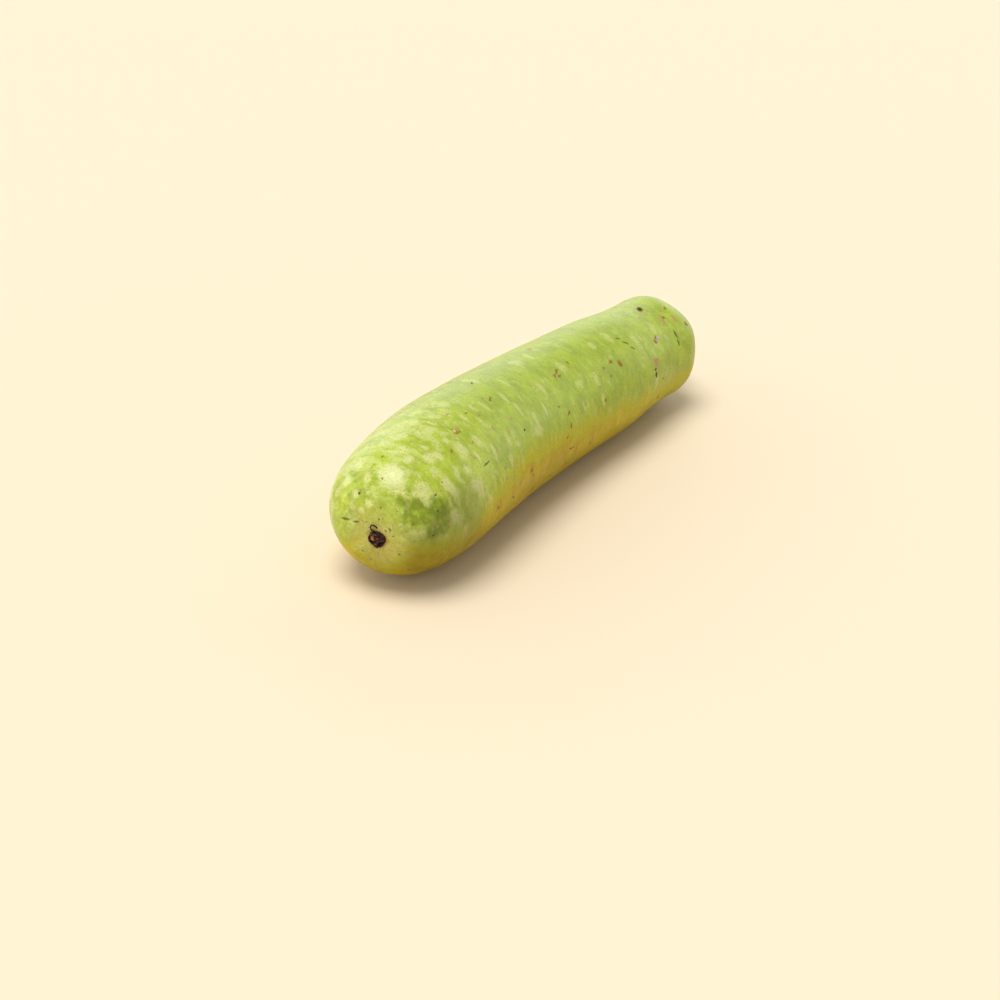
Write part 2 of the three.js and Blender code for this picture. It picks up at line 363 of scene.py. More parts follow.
class GourdColours(bpy.types.PropertyGroup):
    """The colours of the rind and its marks, of the smaller pieces and of the floor."""

    green: colour_property("Green", "The rind's upper side", 0.36, 0.478, 0.008)
    green_dark: colour_property("Darker green", "Its darker clouds", 0.28, 0.385, 0.004)
    green_deep: colour_property("Deep green", "The deep patch beside the blossom end", 0.145, 0.225, 0.002)
    fleck: colour_property("Fleck", "The pale flecks", 0.53, 0.585, 0.14)
    young: colour_property("Young green", "The rind at the blossom end", 0.455, 0.57, 0.055)
    young_dark: colour_property("Young darker green", "Its darker clouds", 0.36, 0.465, 0.025)
    # Its whitish tone is partly a painted highlight on the blossom end.
    young_fleck_and_highlight: colour_property("Young fleck", "Pale blotches of the blossom end", 0.62, 0.66, 0.23)
    # The ground side's colours are partly the rind's own yellow ground spot and partly a painted warm
    # reflection from below.
    ground: colour_property("Ground side", "The yellow side that lay on the ground", 0.50, 0.405, 0.006)
    ground_and_bounce_dark: colour_property("Ground side, darker", "Its darker clouds", 0.42, 0.315, 0.002)
    ground_and_bounce_fleck: colour_property("Ground fleck", "Its pale flecks", 0.59, 0.50, 0.04)
    ground_and_bounce_border: colour_property("Ground border", "Where the yellow meets the green", 0.455, 0.46, 0.014)
    halo: colour_property("Halo", "The ring round the flower scar", 0.50, 0.465, 0.125)
    rust: colour_property("Rust", "The stained edge of the flower scar", 0.33, 0.17, 0.03)
    brown_scab: colour_property("Brown scab", "Small healed scars", 0.29, 0.12, 0.04)
    pink_scab: colour_property("Pink scab", "Faint healed scars", 0.46, 0.25, 0.11)
    dark_scab: colour_property("Dark scab", "Fresh deep scars", 0.092, 0.015, 0.019)
    scratch: colour_property("Scratch", "Bruised green scratches", 0.085, 0.10, 0.018)
    flower: colour_property("Dried flower", "Its brown tissue", 0.060, 0.021, 0.010)
    flower_dark: colour_property("Dried flower, dark", "Its nearly black tissue", 0.009, 0.004, 0.003)
    # The pits' near-black bottoms are painted shade.
    painted_pit_shade: colour_property("Flower pits", "The bottoms of its pits", 0.003, 0.001, 0.001)
    flower_flap: colour_property("Flower flaps", "Its thin pale flaps", 0.33, 0.125, 0.045)
    flower_rim: colour_property("Flower rim", "Its rusty rim", 0.33, 0.08, 0.015)
    thread: colour_property("Thread", "The dried style", 0.035, 0.015, 0.012)
    thread_dark: colour_property("Thread, dark", "Its darker parts", 0.006, 0.003, 0.003)
    bark: colour_property("Stalk", "The stalk's grey-green side", 0.16, 0.19, 0.055)
    bark_fibre: colour_property("Stalk fibres", "The pale fibres along it", 0.42, 0.40, 0.20)
    bark_stain: colour_property("Stalk stains", "Its brown stains", 0.30, 0.22, 0.10)
    bark_foot: colour_property("Stalk foot", "The green where it meets the fruit", 0.24, 0.33, 0.05)
    cut_fibre: colour_property("Cut face", "The pale fibres of the cut", 0.58, 0.46, 0.26)
    cut_flesh: colour_property("Cut flesh", "The tan flesh between them", 0.26, 0.17, 0.075)
    cut_middle: colour_property("Cut middle", "The dark hollow in the middle of the cut", 0.10, 0.055, 0.025)
    cut_edge: colour_property("Cut edge", "The edge of the cut", 0.20, 0.16, 0.06)
    amber: colour_property("Amber sap", "Clear sap where it is thin", 0.50, 0.36, 0.010)
    amber_deep: colour_property("Deep amber sap", "Clear sap where it is thick", 0.28, 0.19, 0.004)
    milky: colour_property("Milky sap", "Sap that has dried white", 0.62, 0.55, 0.58)
    milky_dark: colour_property("Dark milky sap", "Its darker parts", 0.30, 0.20, 0.18)
    floor: colour_property("Floor", "The stage's floor", 0.84, 0.70, 0.50)


# ---- The fruit ---------------------------------------------------------------------------------------------

# Basins round the two poles: depth, and how far out they reach.
BLOSSOM_BASIN = (0.8 * MM, 7 * MM)
STALK_BASIN = (1.4 * MM, 9 * MM)
LOBES = 5
LUMP_SIZE = 22 * MM


def guide_mesh(shape):
    """One point for each station, and one more past each end that carries the curve on straight."""
    step = shape.length / (len(STATIONS) - 1)
    rows = [
        Vector((step * index, bow, height, radius))
        for index, (bow, height, radius) in enumerate(zip(shape.bows, shape.heights, shape.radii))
    ]
    rows = [rows[0] * 2 - rows[1], *rows, rows[-1] * 2 - rows[-2]]
    mesh = bpy.data.meshes.new("stations")
    mesh.from_pydata([row.to_3d() for row in rows], [], [])
    radius = mesh.attributes.new("radius", "FLOAT", "POINT")
    radius.data.foreach_set("value", [row.w for row in rows])
    return mesh


def at_station(graph, guide, value, kind, index):
    """A value of one of the guide's points."""
    settings = {"data_type": kind, "clamp": True}
    return graph.add("GeometryNodeSampleIndex", settings, {"Geometry": guide, "Value": value, "Index": index})


def along(graph, guide, value, kind, share):
    """A smooth curve through a value of the stations, read at a share of the length (Catmull-Rom)."""
    place = share * (len(STATIONS) - 1.0)
    index = graph.smallest(graph.math("FLOOR", place), len(STATIONS) - 2.0)
    t = place - index
    a, b, c, d = (at_station(graph, guide, value, kind, index + float(offset)) for offset in range(4))
    bend = a * 2.0 - b * 5.0 + c * 4.0 - d
    twist = (b - c) * 3.0 + d - a
    return b + (c - a + (bend + twist * t) * t) * (t * 0.5)


def rounding(graph, from_pole, length, fullness):
    """0 at a pole, growing to 1 where that end's rounding stops."""
    inward = graph.smallest(graph.largest(from_pole / length, 0.0), 1.0)
    return graph.largest(1.0 - (1.0 - inward) ** fullness, 0.0) ** (1.0 / fullness)


def fade(graph, distance, reach):
    """1 at no distance, dying out over a reach."""
    ratio = distance / reach
    return graph.math("EXPONENT", -(ratio * ratio))


# The inputs of the skin's tree: the type of each, and the size of the gourd that fills it.
SKIN_INPUTS = {
    "Rings": ("NodeSocketInt", "skin_rings"),
    "Sides": ("NodeSocketInt", "skin_sides"),
    "Length": ("NodeSocketFloat", "length"),
    "Blossom rounding": ("NodeSocketFloat", "blossom_round"),
    "Blossom fullness": ("NodeSocketFloat", "blossom_fullness"),
    "Stalk rounding": ("NodeSocketFloat", "stalk_round"),
    "Stalk fullness": ("NodeSocketFloat", "stalk_fullness"),
    "Tip skew": ("NodeSocketVector", "tip_skew"),
    "Scar offset": ("NodeSocketVector", "scar_offset"),
    "Lobe depth": ("NodeSocketFloat", "lobe_depth"),
    "Lobe reach": ("NodeSocketFloat", "lobe_reach"),
    "Lump height": ("NodeSocketFloat", "lump_height"),
    "Foot": ("NodeSocketVector", "foot"),
}


def skin_values(shape, material):
    """The values of the tree's inputs for a gourd of this shape."""
    values = {"Material": material}
    for label, (kind, size) in SKIN_INPUTS.items():
        value = getattr(shape, size)
        values[label] = tuple(value) if kind == "NodeSocketVector" else value
    return values


def axis_frame(graph, guide, axis_place, share):
    """A place on the axis at a share of the length, and the directions along it, to its side and up."""
    step = 1e-3
    middle, ahead, behind = (
        along(graph, guide, axis_place, "FLOAT_VECTOR", place)
        for place in (share, graph.smallest(share + step, 1.0), graph.largest(share - step, 0.0))
    )
    forward = graph.vector_math("NORMALIZE", ahead - behind)
    upright = (0.0, 0.0, 1.0)
    rise = graph.vector_math("DOT_PRODUCT", forward, upright, output="Value")
    up = graph.vector_math("NORMALIZE", upright - forward * rise)
    return middle, forward, graph.vector_math("CROSS_PRODUCT", up, forward), up


def sink_basins(graph, given, axis_place, point, forward):
    """Sinks the skin in a shallow basin round the flower scar and in one round the stalk."""
    guide = given["Geometry"]
    first_station = at_station(graph, guide, axis_place, "FLOAT_VECTOR", 1)
    last_station = at_station(graph, guide, axis_place, "FLOAT_VECTOR", len(STATIONS))
    scar = first_station + given["Tip skew"] + given["Scar offset"]
    for pole, basin, direction in ((scar, BLOSSOM_BASIN, 1.0), (last_station, STALK_BASIN, -1.0)):
        depth, width = basin
        distance = graph.vector_math("DISTANCE", point, pole, output="Value")
        point = point + forward * (fade(graph, distance, width) * (depth * direction))
    return point


def skin_tree():
    """The tree that makes the skin from its stations: a sphere whose points move to their sections."""
    kinds = {label: kind for label, (kind, _) in SKIN_INPUTS.items()}
    tree, graph, given = new_tree("Gourd skin", {**kinds, "Material": "NodeSocketMaterial"})
    guide = given["Geometry"]
    axis_place = graph.add("GeometryNodeInputPosition")
    radius_field = graph.add("GeometryNodeInputNamedAttribute", {"data_type": "FLOAT"}, {"Name": "radius"})

    fineness = {"Segments": given["Sides"], "Rings": given["Rings"]}
    sphere = graph.add("GeometryNodeMeshUVSphere", None, fineness)
    ball_x, ball_y, ball_z = graph.split(axis_place)
    share = (ball_z + 1.0) * 0.5
    round_place = graph.vector_math("NORMALIZE", graph.join(ball_x, ball_y, 0.0))
    cosine, sine, _ = graph.split(round_place)
    angle = graph.math("ARCTAN2", ball_y, ball_x)
    middle, forward, side, up = axis_frame(graph, guide, axis_place, share)

    from_blossom = share * given["Length"]
    from_stalk = given["Length"] - from_blossom
    blossom = rounding(graph, from_blossom, given["Blossom rounding"], given["Blossom fullness"])
    stalk = rounding(graph, from_stalk, given["Stalk rounding"], given["Stalk fullness"])
    lobes = graph.math("COSINE", angle * float(LOBES)) * given["Lobe depth"]
    lobes = lobes * fade(graph, from_stalk, given["Lobe reach"]) * stalk
    radius = along(graph, guide, radius_field, "FLOAT", share) * blossom * stalk + lobes

    # The same skin with its axis straightened, for everything that follows the surface.
    straight = graph.join(from_blossom, radius * cosine, radius * sine)
    lump = graph.noise(straight, LUMP_SIZE, detail=1.0) - 0.5
    outward = side * cosine + up * sine
    near_tip = graph.largest(1.0 - from_blossom / given["Blossom rounding"], 0.0)
    middle = middle + given["Tip skew"] * (near_tip * near_tip)
    point = middle + outward * (radius + lump * given["Lump height"] * blossom * stalk)
    point = sink_basins(graph, given, axis_place, point, forward)

    # Set down on the ground, which presses the skin flat where it rests.
    placed_x, placed_y, placed_z = graph.split(point + given["Foot"])
    pressed = graph.join(placed_x, placed_y, graph.largest(placed_z, 0.0))
    kept = graph.add(
        "GeometryNodeStoreNamedAttribute",
        {"data_type": "FLOAT_VECTOR", "domain": "POINT"},
        {"Geometry": sphere, "Name": "straight", "Value": straight},
    )
    moved = graph.add("GeometryNodeSetPosition", None, {"Geometry": kept, "Position": pressed})
    end_tree(graph, moved, given["Material"])
    return tree


class SkinMap:
    """Finds places on the finished skin by their distance along the fruit and their angle round it."""

    def __init__(self, mesh):
        self.places, self.normals = vertex_data(mesh)
        straight = np.empty(len(mesh.vertices) * 3)
        mesh.attributes["straight"].data.foreach_get("vector", straight)
        self.straight = straight.reshape(-1, 3)
        self.radii = np.linalg.norm(self.straight[:, 1:], axis=1)

    def find(self, along_mm, around_deg):
        """The skin vertex nearest to a place: its straightened place, its real place and its normal."""
        around = math.radians(around_deg)
        miss = (self.straight[:, 0] - along_mm * MM) ** 2
        miss += (self.straight[:, 1] - self.radii * math.cos(around)) ** 2
        miss += (self.straight[:, 2] - self.radii * math.sin(around)) ** 2
        best = int(miss.argmin())
        return tuple(Vector(array[best]) for array in (self.straight, self.places, self.normals))

    def frame_at(self, mark):
        """A mark's frame on the straightened skin in millimetres: its middle and its three directions."""
        reach = 2.0
        place, _, _ = self.find(mark.along, mark.around)
        before, _, _ = self.find(max(mark.along - reach, 0.2), mark.around)
        after, _, _ = self.find(mark.along + reach, mark.around)
        around = math.radians(mark.around)
        round_way = Vector((0.0, -math.sin(around), math.cos(around)))
        along_way = (after - before).normalized()
        outward = along_way.cross(round_way).normalized()
        axes = Matrix((along_way, outward.cross(along_way), outward)).transposed()
        return place / MM, axes @ Matrix.Rotation(math.radians(mark.turn), 3, "Z")

    def store_marks(self, mesh, name, broad_marks):
        """Stores the sum of the marks' fields at each vertex, for marks much broader than a face."""
        total = np.zeros(len(self.straight))
        for mark in broad_marks:
            centre, axes = self.frame_at(mark)
            sizes = (mark.long, mark.wide, max(mark.long, mark.wide))
            local = (self.straight / MM - np.array(centre)) @ np.array(axes) / sizes
            total += np.maximum(1.0 - np.linalg.norm(local, axis=1), 0.0)
        mesh.attributes.new(name, "FLOAT", "POINT").data.foreach_set("value", total)


# ---- The rind's finish -------------------------------------------------------------------------------------

# A mark on the skin: its distance from the blossom pole and its half sizes in millimetres, its angle round
# the fruit (90 is on top and 180 on the side towards -Y), and how far its length is turned from the fruit's.
Mark = namedtuple("Mark", "along around long wide turn", defaults=(0,))


def marks(*rows):
    """Marks from rows of their values, which end before the turn where there is none."""
    return [Mark(*row) for row in rows]


# The larger pale blotches. The first two, on top of the blossom end, also stand in for a painted highlight.
PALE_BLOTCHES = marks(
    (9, 102, 7.5, 8), (13, 97, 6, 7.5), (22, 104, 4, 4), (8, 115, 4, 5), (13, 132, 6, 5),
    (12, 143, 3.5, 4.5), (24, 140, 3, 4), (26, 149, 3.2, 8.5), (22, 169, 4, 5.5), (28, 116, 4, 4.6),
    (26, 94, 4, 4.5), (33, 120, 2.6, 4), (8, 77.5, 3.4, 3.4), (14, 62, 4.5, 6), (8.7, 48, 3.2, 4.5),
    (3.6, 61, 2.8, 3), (1.65, 49.5, 3, 3), (1.65, 85, 3.2, 3.6), (0.8, 68, 2.6, 2.8), (22.5, 87, 2.2, 6),
    (27.7, 76, 2.4, 5), (6.6, 174, 3, 3.4), (33, 82, 5.5, 5), (42, 155, 7, 4.5), (43, 164, 2.6, 4.5),
    (40.5, 142, 3.6, 4), (45.5, 128, 5.5, 7.5), (45, 98.5, 4.5, 4.2), (32.5, 107, 2.2, 3.2),
    (44, 114, 2.6, 2.6), (36, 87, 3.2, 2.6), (40, 94, 2, 2.6), (51, 95, 1.8, 4.5), (48, 83, 4, 6),
    (58, 132, 3.2, 5.5), (51.5, 139, 1.7, 4.5), (57, 92, 2.4, 6), (61.5, 97, 1.7, 6), (28, 190, 2.6, 7.5),
    (49, 176, 3, 5), (68, 90, 4, 4.6), (65.2, 111, 1.4, 5), (64, 144, 1.7, 5.5), (70.5, 122, 2.2, 5),
    (75, 159, 2.8, 5.5), (76, 109, 1.6, 5), (79, 144, 1.7, 6), (82.5, 112, 2.2, 6), (85.5, 168, 3.2, 5),
    (85, 152, 3.2, 2.6), (99.5, 114, 2.2, 6), (101, 129, 1.7, 5.5), (100.5, 83, 3.4, 7),
    (111, 105, 1.6, 6.5), (107.5, 154, 6, 4.5), (109, 144, 1.9, 5), (120.3, 142, 1.4, 5.5),
    (128.5, 123, 3.2, 6), (136, 90, 5.5, 5.5), (148, 92, 2.4, 5), (156, 119, 3.8, 6),
    (159, 138.5, 5.5, 3.4), (155.5, 160, 1.7, 5), (173.5, 161, 2, 5), (173.5, 143, 3, 5.5),
    (189.5, 113, 2.8, 4.6), (205.5, 112, 3.2, 6.5), (222, 130, 3.4, 7), (243, 128, 2.6, 4),
    (190, 187, 3.4, 7.5), (220, 187, 3.6, 7.5), (228, 177, 3, 6.5),
)

# Deeper green beside the blossom end, and patches of painted shade round it and under the fruit.
DEEP_PATCHES = marks(
    (12, 155, 13, 12), (17.5, 156, 9, 9), (15, 168, 8, 7), (9.2, 178, 6, 6), (5.2, 132, 6, 6),
    (1, 35, 6, 6), (3.8, 77, 3.5, 3.5), (8, 140, 8, 9), (3.5, 152, 6, 6),
)
PAINTED_SHADE_PATCHES = marks(
    (12, 196, 24, 26), (28, 208, 34, 24), (30, 165, 22, 18),
)

BROAD_MARKS = {"pale_marks": PALE_BLOTCHES, "deep_marks": DEEP_PATCHES, "painted_shade_marks": PAINTED_SHADE_PATCHES}

# Small scars, brown.
BROWN_SCABS = marks(
    (57.5, 187, 2.1, 1.3, 20), (95, 179.5, 2.2, 1.7), (97, 186, 1.7, 0.9, 20),
    (40.5, 124.5, 2.1, 0.8, -45), (69.5, 109, 1.4, 0.7), (90.5, 110, 3.4, 0.9, -30),
    (18.7, 82.5, 1.1, 0.8), (8.7, 94.5, 0.9, 0.8), (145.7, 121.5, 1.9, 1.2, -35),
    (148.2, 119.3, 2, 0.9, -20), (150.7, 117.5, 2, 1.1), (148.5, 123.6, 2.4, 0.9),
    (134.5, 173.5, 2, 1.1, -15), (139, 166, 1.4, 2, 10), (139.5, 155, 2.1, 1.1, -25),
    (132.5, 145.5, 1.8, 0.8, -10), (141.5, 187, 2, 0.8, 15), (163.5, 199, 2, 1.1, 40),
    (123, 205, 2.4, 1.2, 35), (176, 164, 1.2, 1.8, 10), (186.7, 147, 1.5, 0.7, -15),
    (163, 117, 0.9, 1.7, 10), (198, 141, 2.1, 3.2), (184, 137, 1.3, 1), (192.5, 134.3, 2, 1.4, 10),
    (238, 139.5, 1.9, 1.8), (240.5, 135, 2.2, 1.4, -20), (236, 200.5, 2.4, 1.5, 45),
    (236.5, 178, 1.7, 0.8, 15), (258.5, 120, 1.9, 1.3, -20), (266.7, 110.5, 2, 1.1, -35),
    (271, 139, 1.7, 1.9), (1.7, 109, 0.8, 0.7), (8.7, -128, 1.5, 0.8), (0.1, 71, 0.7, 0.6),
    (0.03, 44, 0.8, 0.7), (0.02, 75, 0.5, 0.5), (2.9, 133, 0.7, 0.6), (1.8, -89, 0.7, 0.6),
)

# Faint pinkish ones.
PINK_SCABS = marks(
    (67.5, 160.5, 1.6, 1.3), (66, 146, 2.6, 0.8, -15), (55, 129.7, 1.5, 0.8), (82.7, 141, 0.9, 3),
    (49.5, 138, 1, 2.2, -15), (61.5, 99, 2.6, 1.1), (66.5, 169, 1.6, 1.6), (18, 173, 1.2, 1.8),
    (124, 123, 1.6, 1.1), (158, 81, 3.6, 2.2, -20), (229.5, 158, 3.6, 4.6), (232.5, 156.5, 1.6, 1.6),
    (256, 124, 2.6, 3.4), (265, 127, 2.2, 4.5), (257, 116, 2, 2.2), (250.5, 107, 1.8, 1.6),
    (1.1, 100, 0.8, 0.8), (0.95, 94, 0.8, 0.7), (0.14, 52, 1.4, 0.9, -30), (0.2, 26, 0.9, 0.8),
    (2.6, 167, 1.6, 0.7), (12.1, 171.5, 0.9, 0.9), (6.4, 131, 1.1, 0.9), (0.75, -142, 0.6, 1.4),
    (74, 131, 1.5, 1.5), (91, 134, 1.6, 1.6), (81.5, 184, 2, 3.4),
)

# Nearly black scabs and cracks.
DARK_SCABS = marks(
    (252.5, 95, 3.7, 2.3, -35), (228, 169, 1.4, 2.3), (228.3, 163.3, 1.6, 0.9), (139, 187, 1.8, 0.8, 25),
    (95.3, 145.6, 1.2, 0.8), (3.5, 68, 0.7, 1), (0.42, 118, 0.7, 0.6), (10, 177.5, 0.7, 0.6),
    (0.83, 177, 0.6, 0.5), (16.5, 142.5, 0.8, 0.7),
)

# Dark green scratches and bruises.
GREEN_SCRATCHES = marks(
    (1.4, 14.5, 4, 1, -25), (0.31, 29.4, 2.3, 0.75, -47), (0.9, -69, 0.9, 0.8), (2.2, -146, 0.9, 0.8),
    (53.8, 114.4, 2.7, 2.7), (0.6, 158, 0.8, 1.3), (0.33, 160, 0.6, 0.7), (14, 155, 0.9, 1),
    (76, 191, 2.5, 0.9, 20), (54.5, 148, 3.9, 0.8), (215.5, 133.7, 2.4, 0.8, 50),
    (213, 125.5, 2.6, 0.9, 40), (210.5, 118, 2.2, 0.7, 20), (257.7, 152, 1, 2.5), (258.3, 143, 1, 3.3),
    (98.5, 87, 2.2, 0.8, -25),
)

# Dried sap on the skin: its place, its radius, and 1 for clear amber or 0 for milky.
Bead = namedtuple("Bead", "along around radius amber")
SAP_BEADS = (
    Bead(53.6, 115.0, 1.9, 1.0),
    Bead(241.8, 136.0, 1.15, 0.0),
    Bead(239.4, 138.2, 0.8, 0.3),
)

# The line where the ground side begins, as the cosine of its angle from the middle of that side: its value at
# its widest place, and how it draws in towards the two ends. The yellow past it is partly painted reflection.
GROUND_AND_BOUNCE_WAY = (-0.139, -0.990)
GROUND_AND_BOUNCE_WIDEST = 100.0
GROUND_AND_BOUNCE_EDGE = -0.10
GROUND_AND_BOUNCE_DRAWN_IN = (0.36 / 70**2, 0.34 / 170)


class Skin:
    """The patterns that the rind's colours share, over places in millimetres on the straightened fruit."""

    def __init__(self, graph, skin_map, scar, colours):
        self.graph = graph
        self.skin_map = skin_map
        self.colours = colours
        self.place = graph.stored("straight", "Vector") * (1.0 / MM)
        self.x, self.y, self.z = graph.split(self.place)
        self.young = graph.rise(self.x, 95.0, 25.0)
        self.from_scar = graph.vector_math("DISTANCE", self.place, scar, output="Value")
        self.near_scar = graph.rise(self.from_scar, 24.0, 10.0)
        self.streaks = self.fine_streaks(scar)
        self.mottle = self.drawn_out(7.0, 0.6, detail=3.0, roughness=0.55)
        self.clump = graph.noise(self.place + (self.mottle - 0.5) * 4.0, 4.6, detail=4.0, roughness=0.6) - 0.5
        self.shreds = self.drawn_out(1.9, 0.45, detail=3.0, roughness=0.6) - 0.5

    def drawn_out(self, size, across, **sockets):
        """Noise that is drawn out round the fruit. Its size there is divided by across."""
        return self.graph.noise(self.place * (1.0, across, across), size, **sockets)

    def fine_streaks(self, scar):
        """Streaks that run round the fruit, and out from the flower scar near it. About 0 on average."""
        graph = self.graph
        round_fruit = self.drawn_out(0.8, 0.13)
        _, across, up = graph.split(self.place - scar)
        distance = graph.root(across * across + up * up) + 0.01
        spokes = graph.join(across / distance * 9.0, up / distance * 9.0, distance * 0.14)
        from_scar = graph.noise(spokes, 1.0)
        near_scar = graph.rise(distance, 22.0, 12.0) * graph.rise(self.x, 9.0, 3.0)
        return round_fruit + (from_scar - round_fruit) * near_scar - 0.5

    def field(self, place, marks_there):
        """The sum of the marks' fields: each is 1 at the mark's middle and 0 on its outline."""
        fields = []
        for mark in marks_there:
            centre, axes = self.skin_map.frame_at(mark)
            sockets = {
                "Vector": place,
                "Location": centre,
                "Rotation": axes.to_euler(),
                "Scale": (mark.long, mark.wide, max(mark.long, mark.wide)),
            }
            local = self.graph.add("ShaderNodeMapping", {"vector_type": "TEXTURE"}, sockets)
            settings = {"gradient_type": "SPHERICAL"}
            fields.append(self.graph.add("ShaderNodeTexGradient", settings, {"Vector": local}, "Fac"))
        return sum(fields[1:], fields[0])

    def specks(self, place, size, chances, reach, inner, ragged=0.0):
        """Round specks in some of the cells of that size, and a random tone for each."""
        cell = self.graph.cells(place, size)
        chance, tone, _ = self.graph.split(cell.sibling("Color"))
        radius = self.graph.rise(chance, *chances) * reach + 0.001
        return self.graph.rise(cell + ragged, radius, radius * inner), tone


def pale_flecks(skin):
    """How pale the skin is: broad blotches at the blossom end, and narrow flecks round the rest of it."""
    graph, place, x, streaks = skin.graph, skin.place, skin.x, skin.streaks
    drift = graph.noise(place, 11.0, detail=1.0, output="Color") - (0.5, 0.5, 0.5)
    wandering = place + drift * 9.0
    blotch = graph.noise(wandering * (1.0, 0.62, 0.62), 4.6, detail=4.0, roughness=0.55)
    upper = graph.rise(skin.y * 0.5 + skin.z * 0.87, 5.0, 34.0)
    start = 0.505 + graph.rise(x, 25.0, 110.0) * 0.08 - upper * graph.rise(x, 90.0, 55.0) * 0.085
    blotches = graph.rise(blotch + streaks * 0.16, start, start + 0.15)
    blotches = blotches * (0.30 + graph.noise(place, 14.0, detail=1.0) * 0.6)

    thin = wandering * (1.0, 0.26, 0.26)
    flecks, tone = skin.specks(thin, 4.4, (0.45, 1.0), reach=0.46, inner=0.1, ragged=streaks * 0.15)
    flecks = flecks * (0.25 + tone * 0.6) * graph.rise(x, 35.0, 65.0)
    flecks = flecks * (1.0 - graph.rise(x, 125.0, 200.0) * 0.5)
    faint = graph.noise(wandering * (1.0, 0.4, 0.4), 2.6, detail=3.0)
    faint = graph.rise(faint + streaks * 0.2, 0.51, 0.75) * 0.38

    feather = graph.noise(wandering * (1.0, 0.55, 0.55), 2.0, detail=4.0, roughness=0.65) - 0.5
    placed = graph.stored("pale_marks")
    ragged = (blotch - 0.5) * 0.9 + feather * 1.3 + streaks * 0.6
    placed = placed + ragged * graph.rise(placed, 0.0, 0.3)
    placed = graph.rise(placed, 0.02, 0.62) * (0.68 + skin.young * 0.22)
    return graph.largest(blotches, flecks, placed, faint)


def ground_side_and_bounce(skin):
    """1 where the skin lay on the ground, which is also where warm reflection is painted, and how deep in
    that side a place is.
    """
    graph, x, y, z = skin.graph, skin.x, skin.y, skin.z
    girth = graph.root(y * y + z * z) + 4.0
    depth = (y * GROUND_AND_BOUNCE_WAY[0] + z * GROUND_AND_BOUNCE_WAY[1]) / girth
    before = graph.smallest(graph.largest(GROUND_AND_BOUNCE_WIDEST - x, 0.0), 70.0)
    after = graph.largest(x - GROUND_AND_BOUNCE_WIDEST, 0.0)
    edge = before * before * GROUND_AND_BOUNCE_DRAWN_IN[0] + after * GROUND_AND_BOUNCE_DRAWN_IN[1] + GROUND_AND_BOUNCE_EDGE
    wander = graph.noise(skin.place * (0.7, 1.0, 1.0), 12.0, detail=5.0, roughness=0.6) - 0.5
    depth = depth + wander * 0.34
    return graph.rise(depth, edge - 0.19, edge + 0.12), graph.rise(depth, edge, edge + 0.7)


def green_skin(skin, pale):
    """Green with darker clouds, livelier towards the two ends and deep green beside the scar."""
    graph, colours = skin.graph, skin.colours
    cloud = graph.rise(skin.mottle, 0.36, 0.64)
    grown = graph.mix(cloud, colours.green_dark, colours.green)
    young = graph.mix(cloud, colours.young_dark, colours.young)
    green = graph.mix(skin.young + graph.rise(skin.x, 225.0, 270.0) * 0.35, grown, young)
    near_tip = graph.rise(skin.x, 24.0, 8.0) * graph.rise(skin.from_scar, 7.0, 13.0) * 0.40
    deep = graph.stored("deep_marks") * 0.50 + near_tip
    deep = graph.rise(deep + skin.clump * 2.0 + skin.shreds * 1.2 + skin.streaks * 0.5, 0.16, 1.18)
    green = graph.mix(deep * 0.84, green, colours.green_deep)
    # The blossom end's flecks are partly a painted highlight.
    fleck = graph.mix(skin.young, colours.fleck, colours.young_fleck_and_highlight)
    return graph.mix(pale * (1.0 - deep * 0.5), green, fleck)


def yellow_skin_and_bounce(skin, pale, ground_and_bounce_depth):
    """Yellow with darker clouds, and greener at its border and towards the two ends. The yellow is partly
    painted warm reflection.
    """
    graph, colours = skin.graph, skin.colours
    cloud = graph.rise(skin.mottle * 0.6 + skin.clump * 0.4 + skin.streaks * 0.15, 0.18, 0.42)
    yellow = graph.mix(cloud, colours.ground_and_bounce_dark, colours.ground)
    border = graph.rise(ground_and_bounce_depth, 0.22, 0.0) + graph.rise(skin.x, 170.0, 260.0) * 0.7
    border = graph.smallest(border + skin.near_scar * 0.7, 0.85)
    yellow = graph.mix(border, yellow, colours.ground_and_bounce_border)
    return graph.mix(pale * 0.7, yellow, colours.ground_and_bounce_fleck)


def scar_ring(skin, colour):
    """The colour with a pale ring round the flower scar, its green spots and the scar's rusty edge."""
    graph, colours, distance = skin.graph, skin.colours, skin.from_scar
    ring = graph.rise(distance + (skin.mottle - 0.5) * 12.0 + skin.streaks * 5.0, 19.0, 7.0)
    ring = graph.smallest(ring * (0.74 + skin.shreds * 1.8), 0.95)
    colour = graph.mix(ring, colour, colours.halo)
    spots = graph.rise(skin.clump * 0.7 + skin.shreds + skin.streaks * 0.4, 0.05, 0.22)
    spots = spots * graph.rise(distance, 26.0, 16.0) * graph.rise(distance, 5.0, 9.0) * 0.55
    colour = graph.mix(spots, colour, colours.young_dark)
    rust = graph.rise(distance + skin.clump * 3.0 + skin.shreds * 2.0, 5.9, 4.5) * 0.5
    return graph.mix(rust, colour, colours.rust), ring


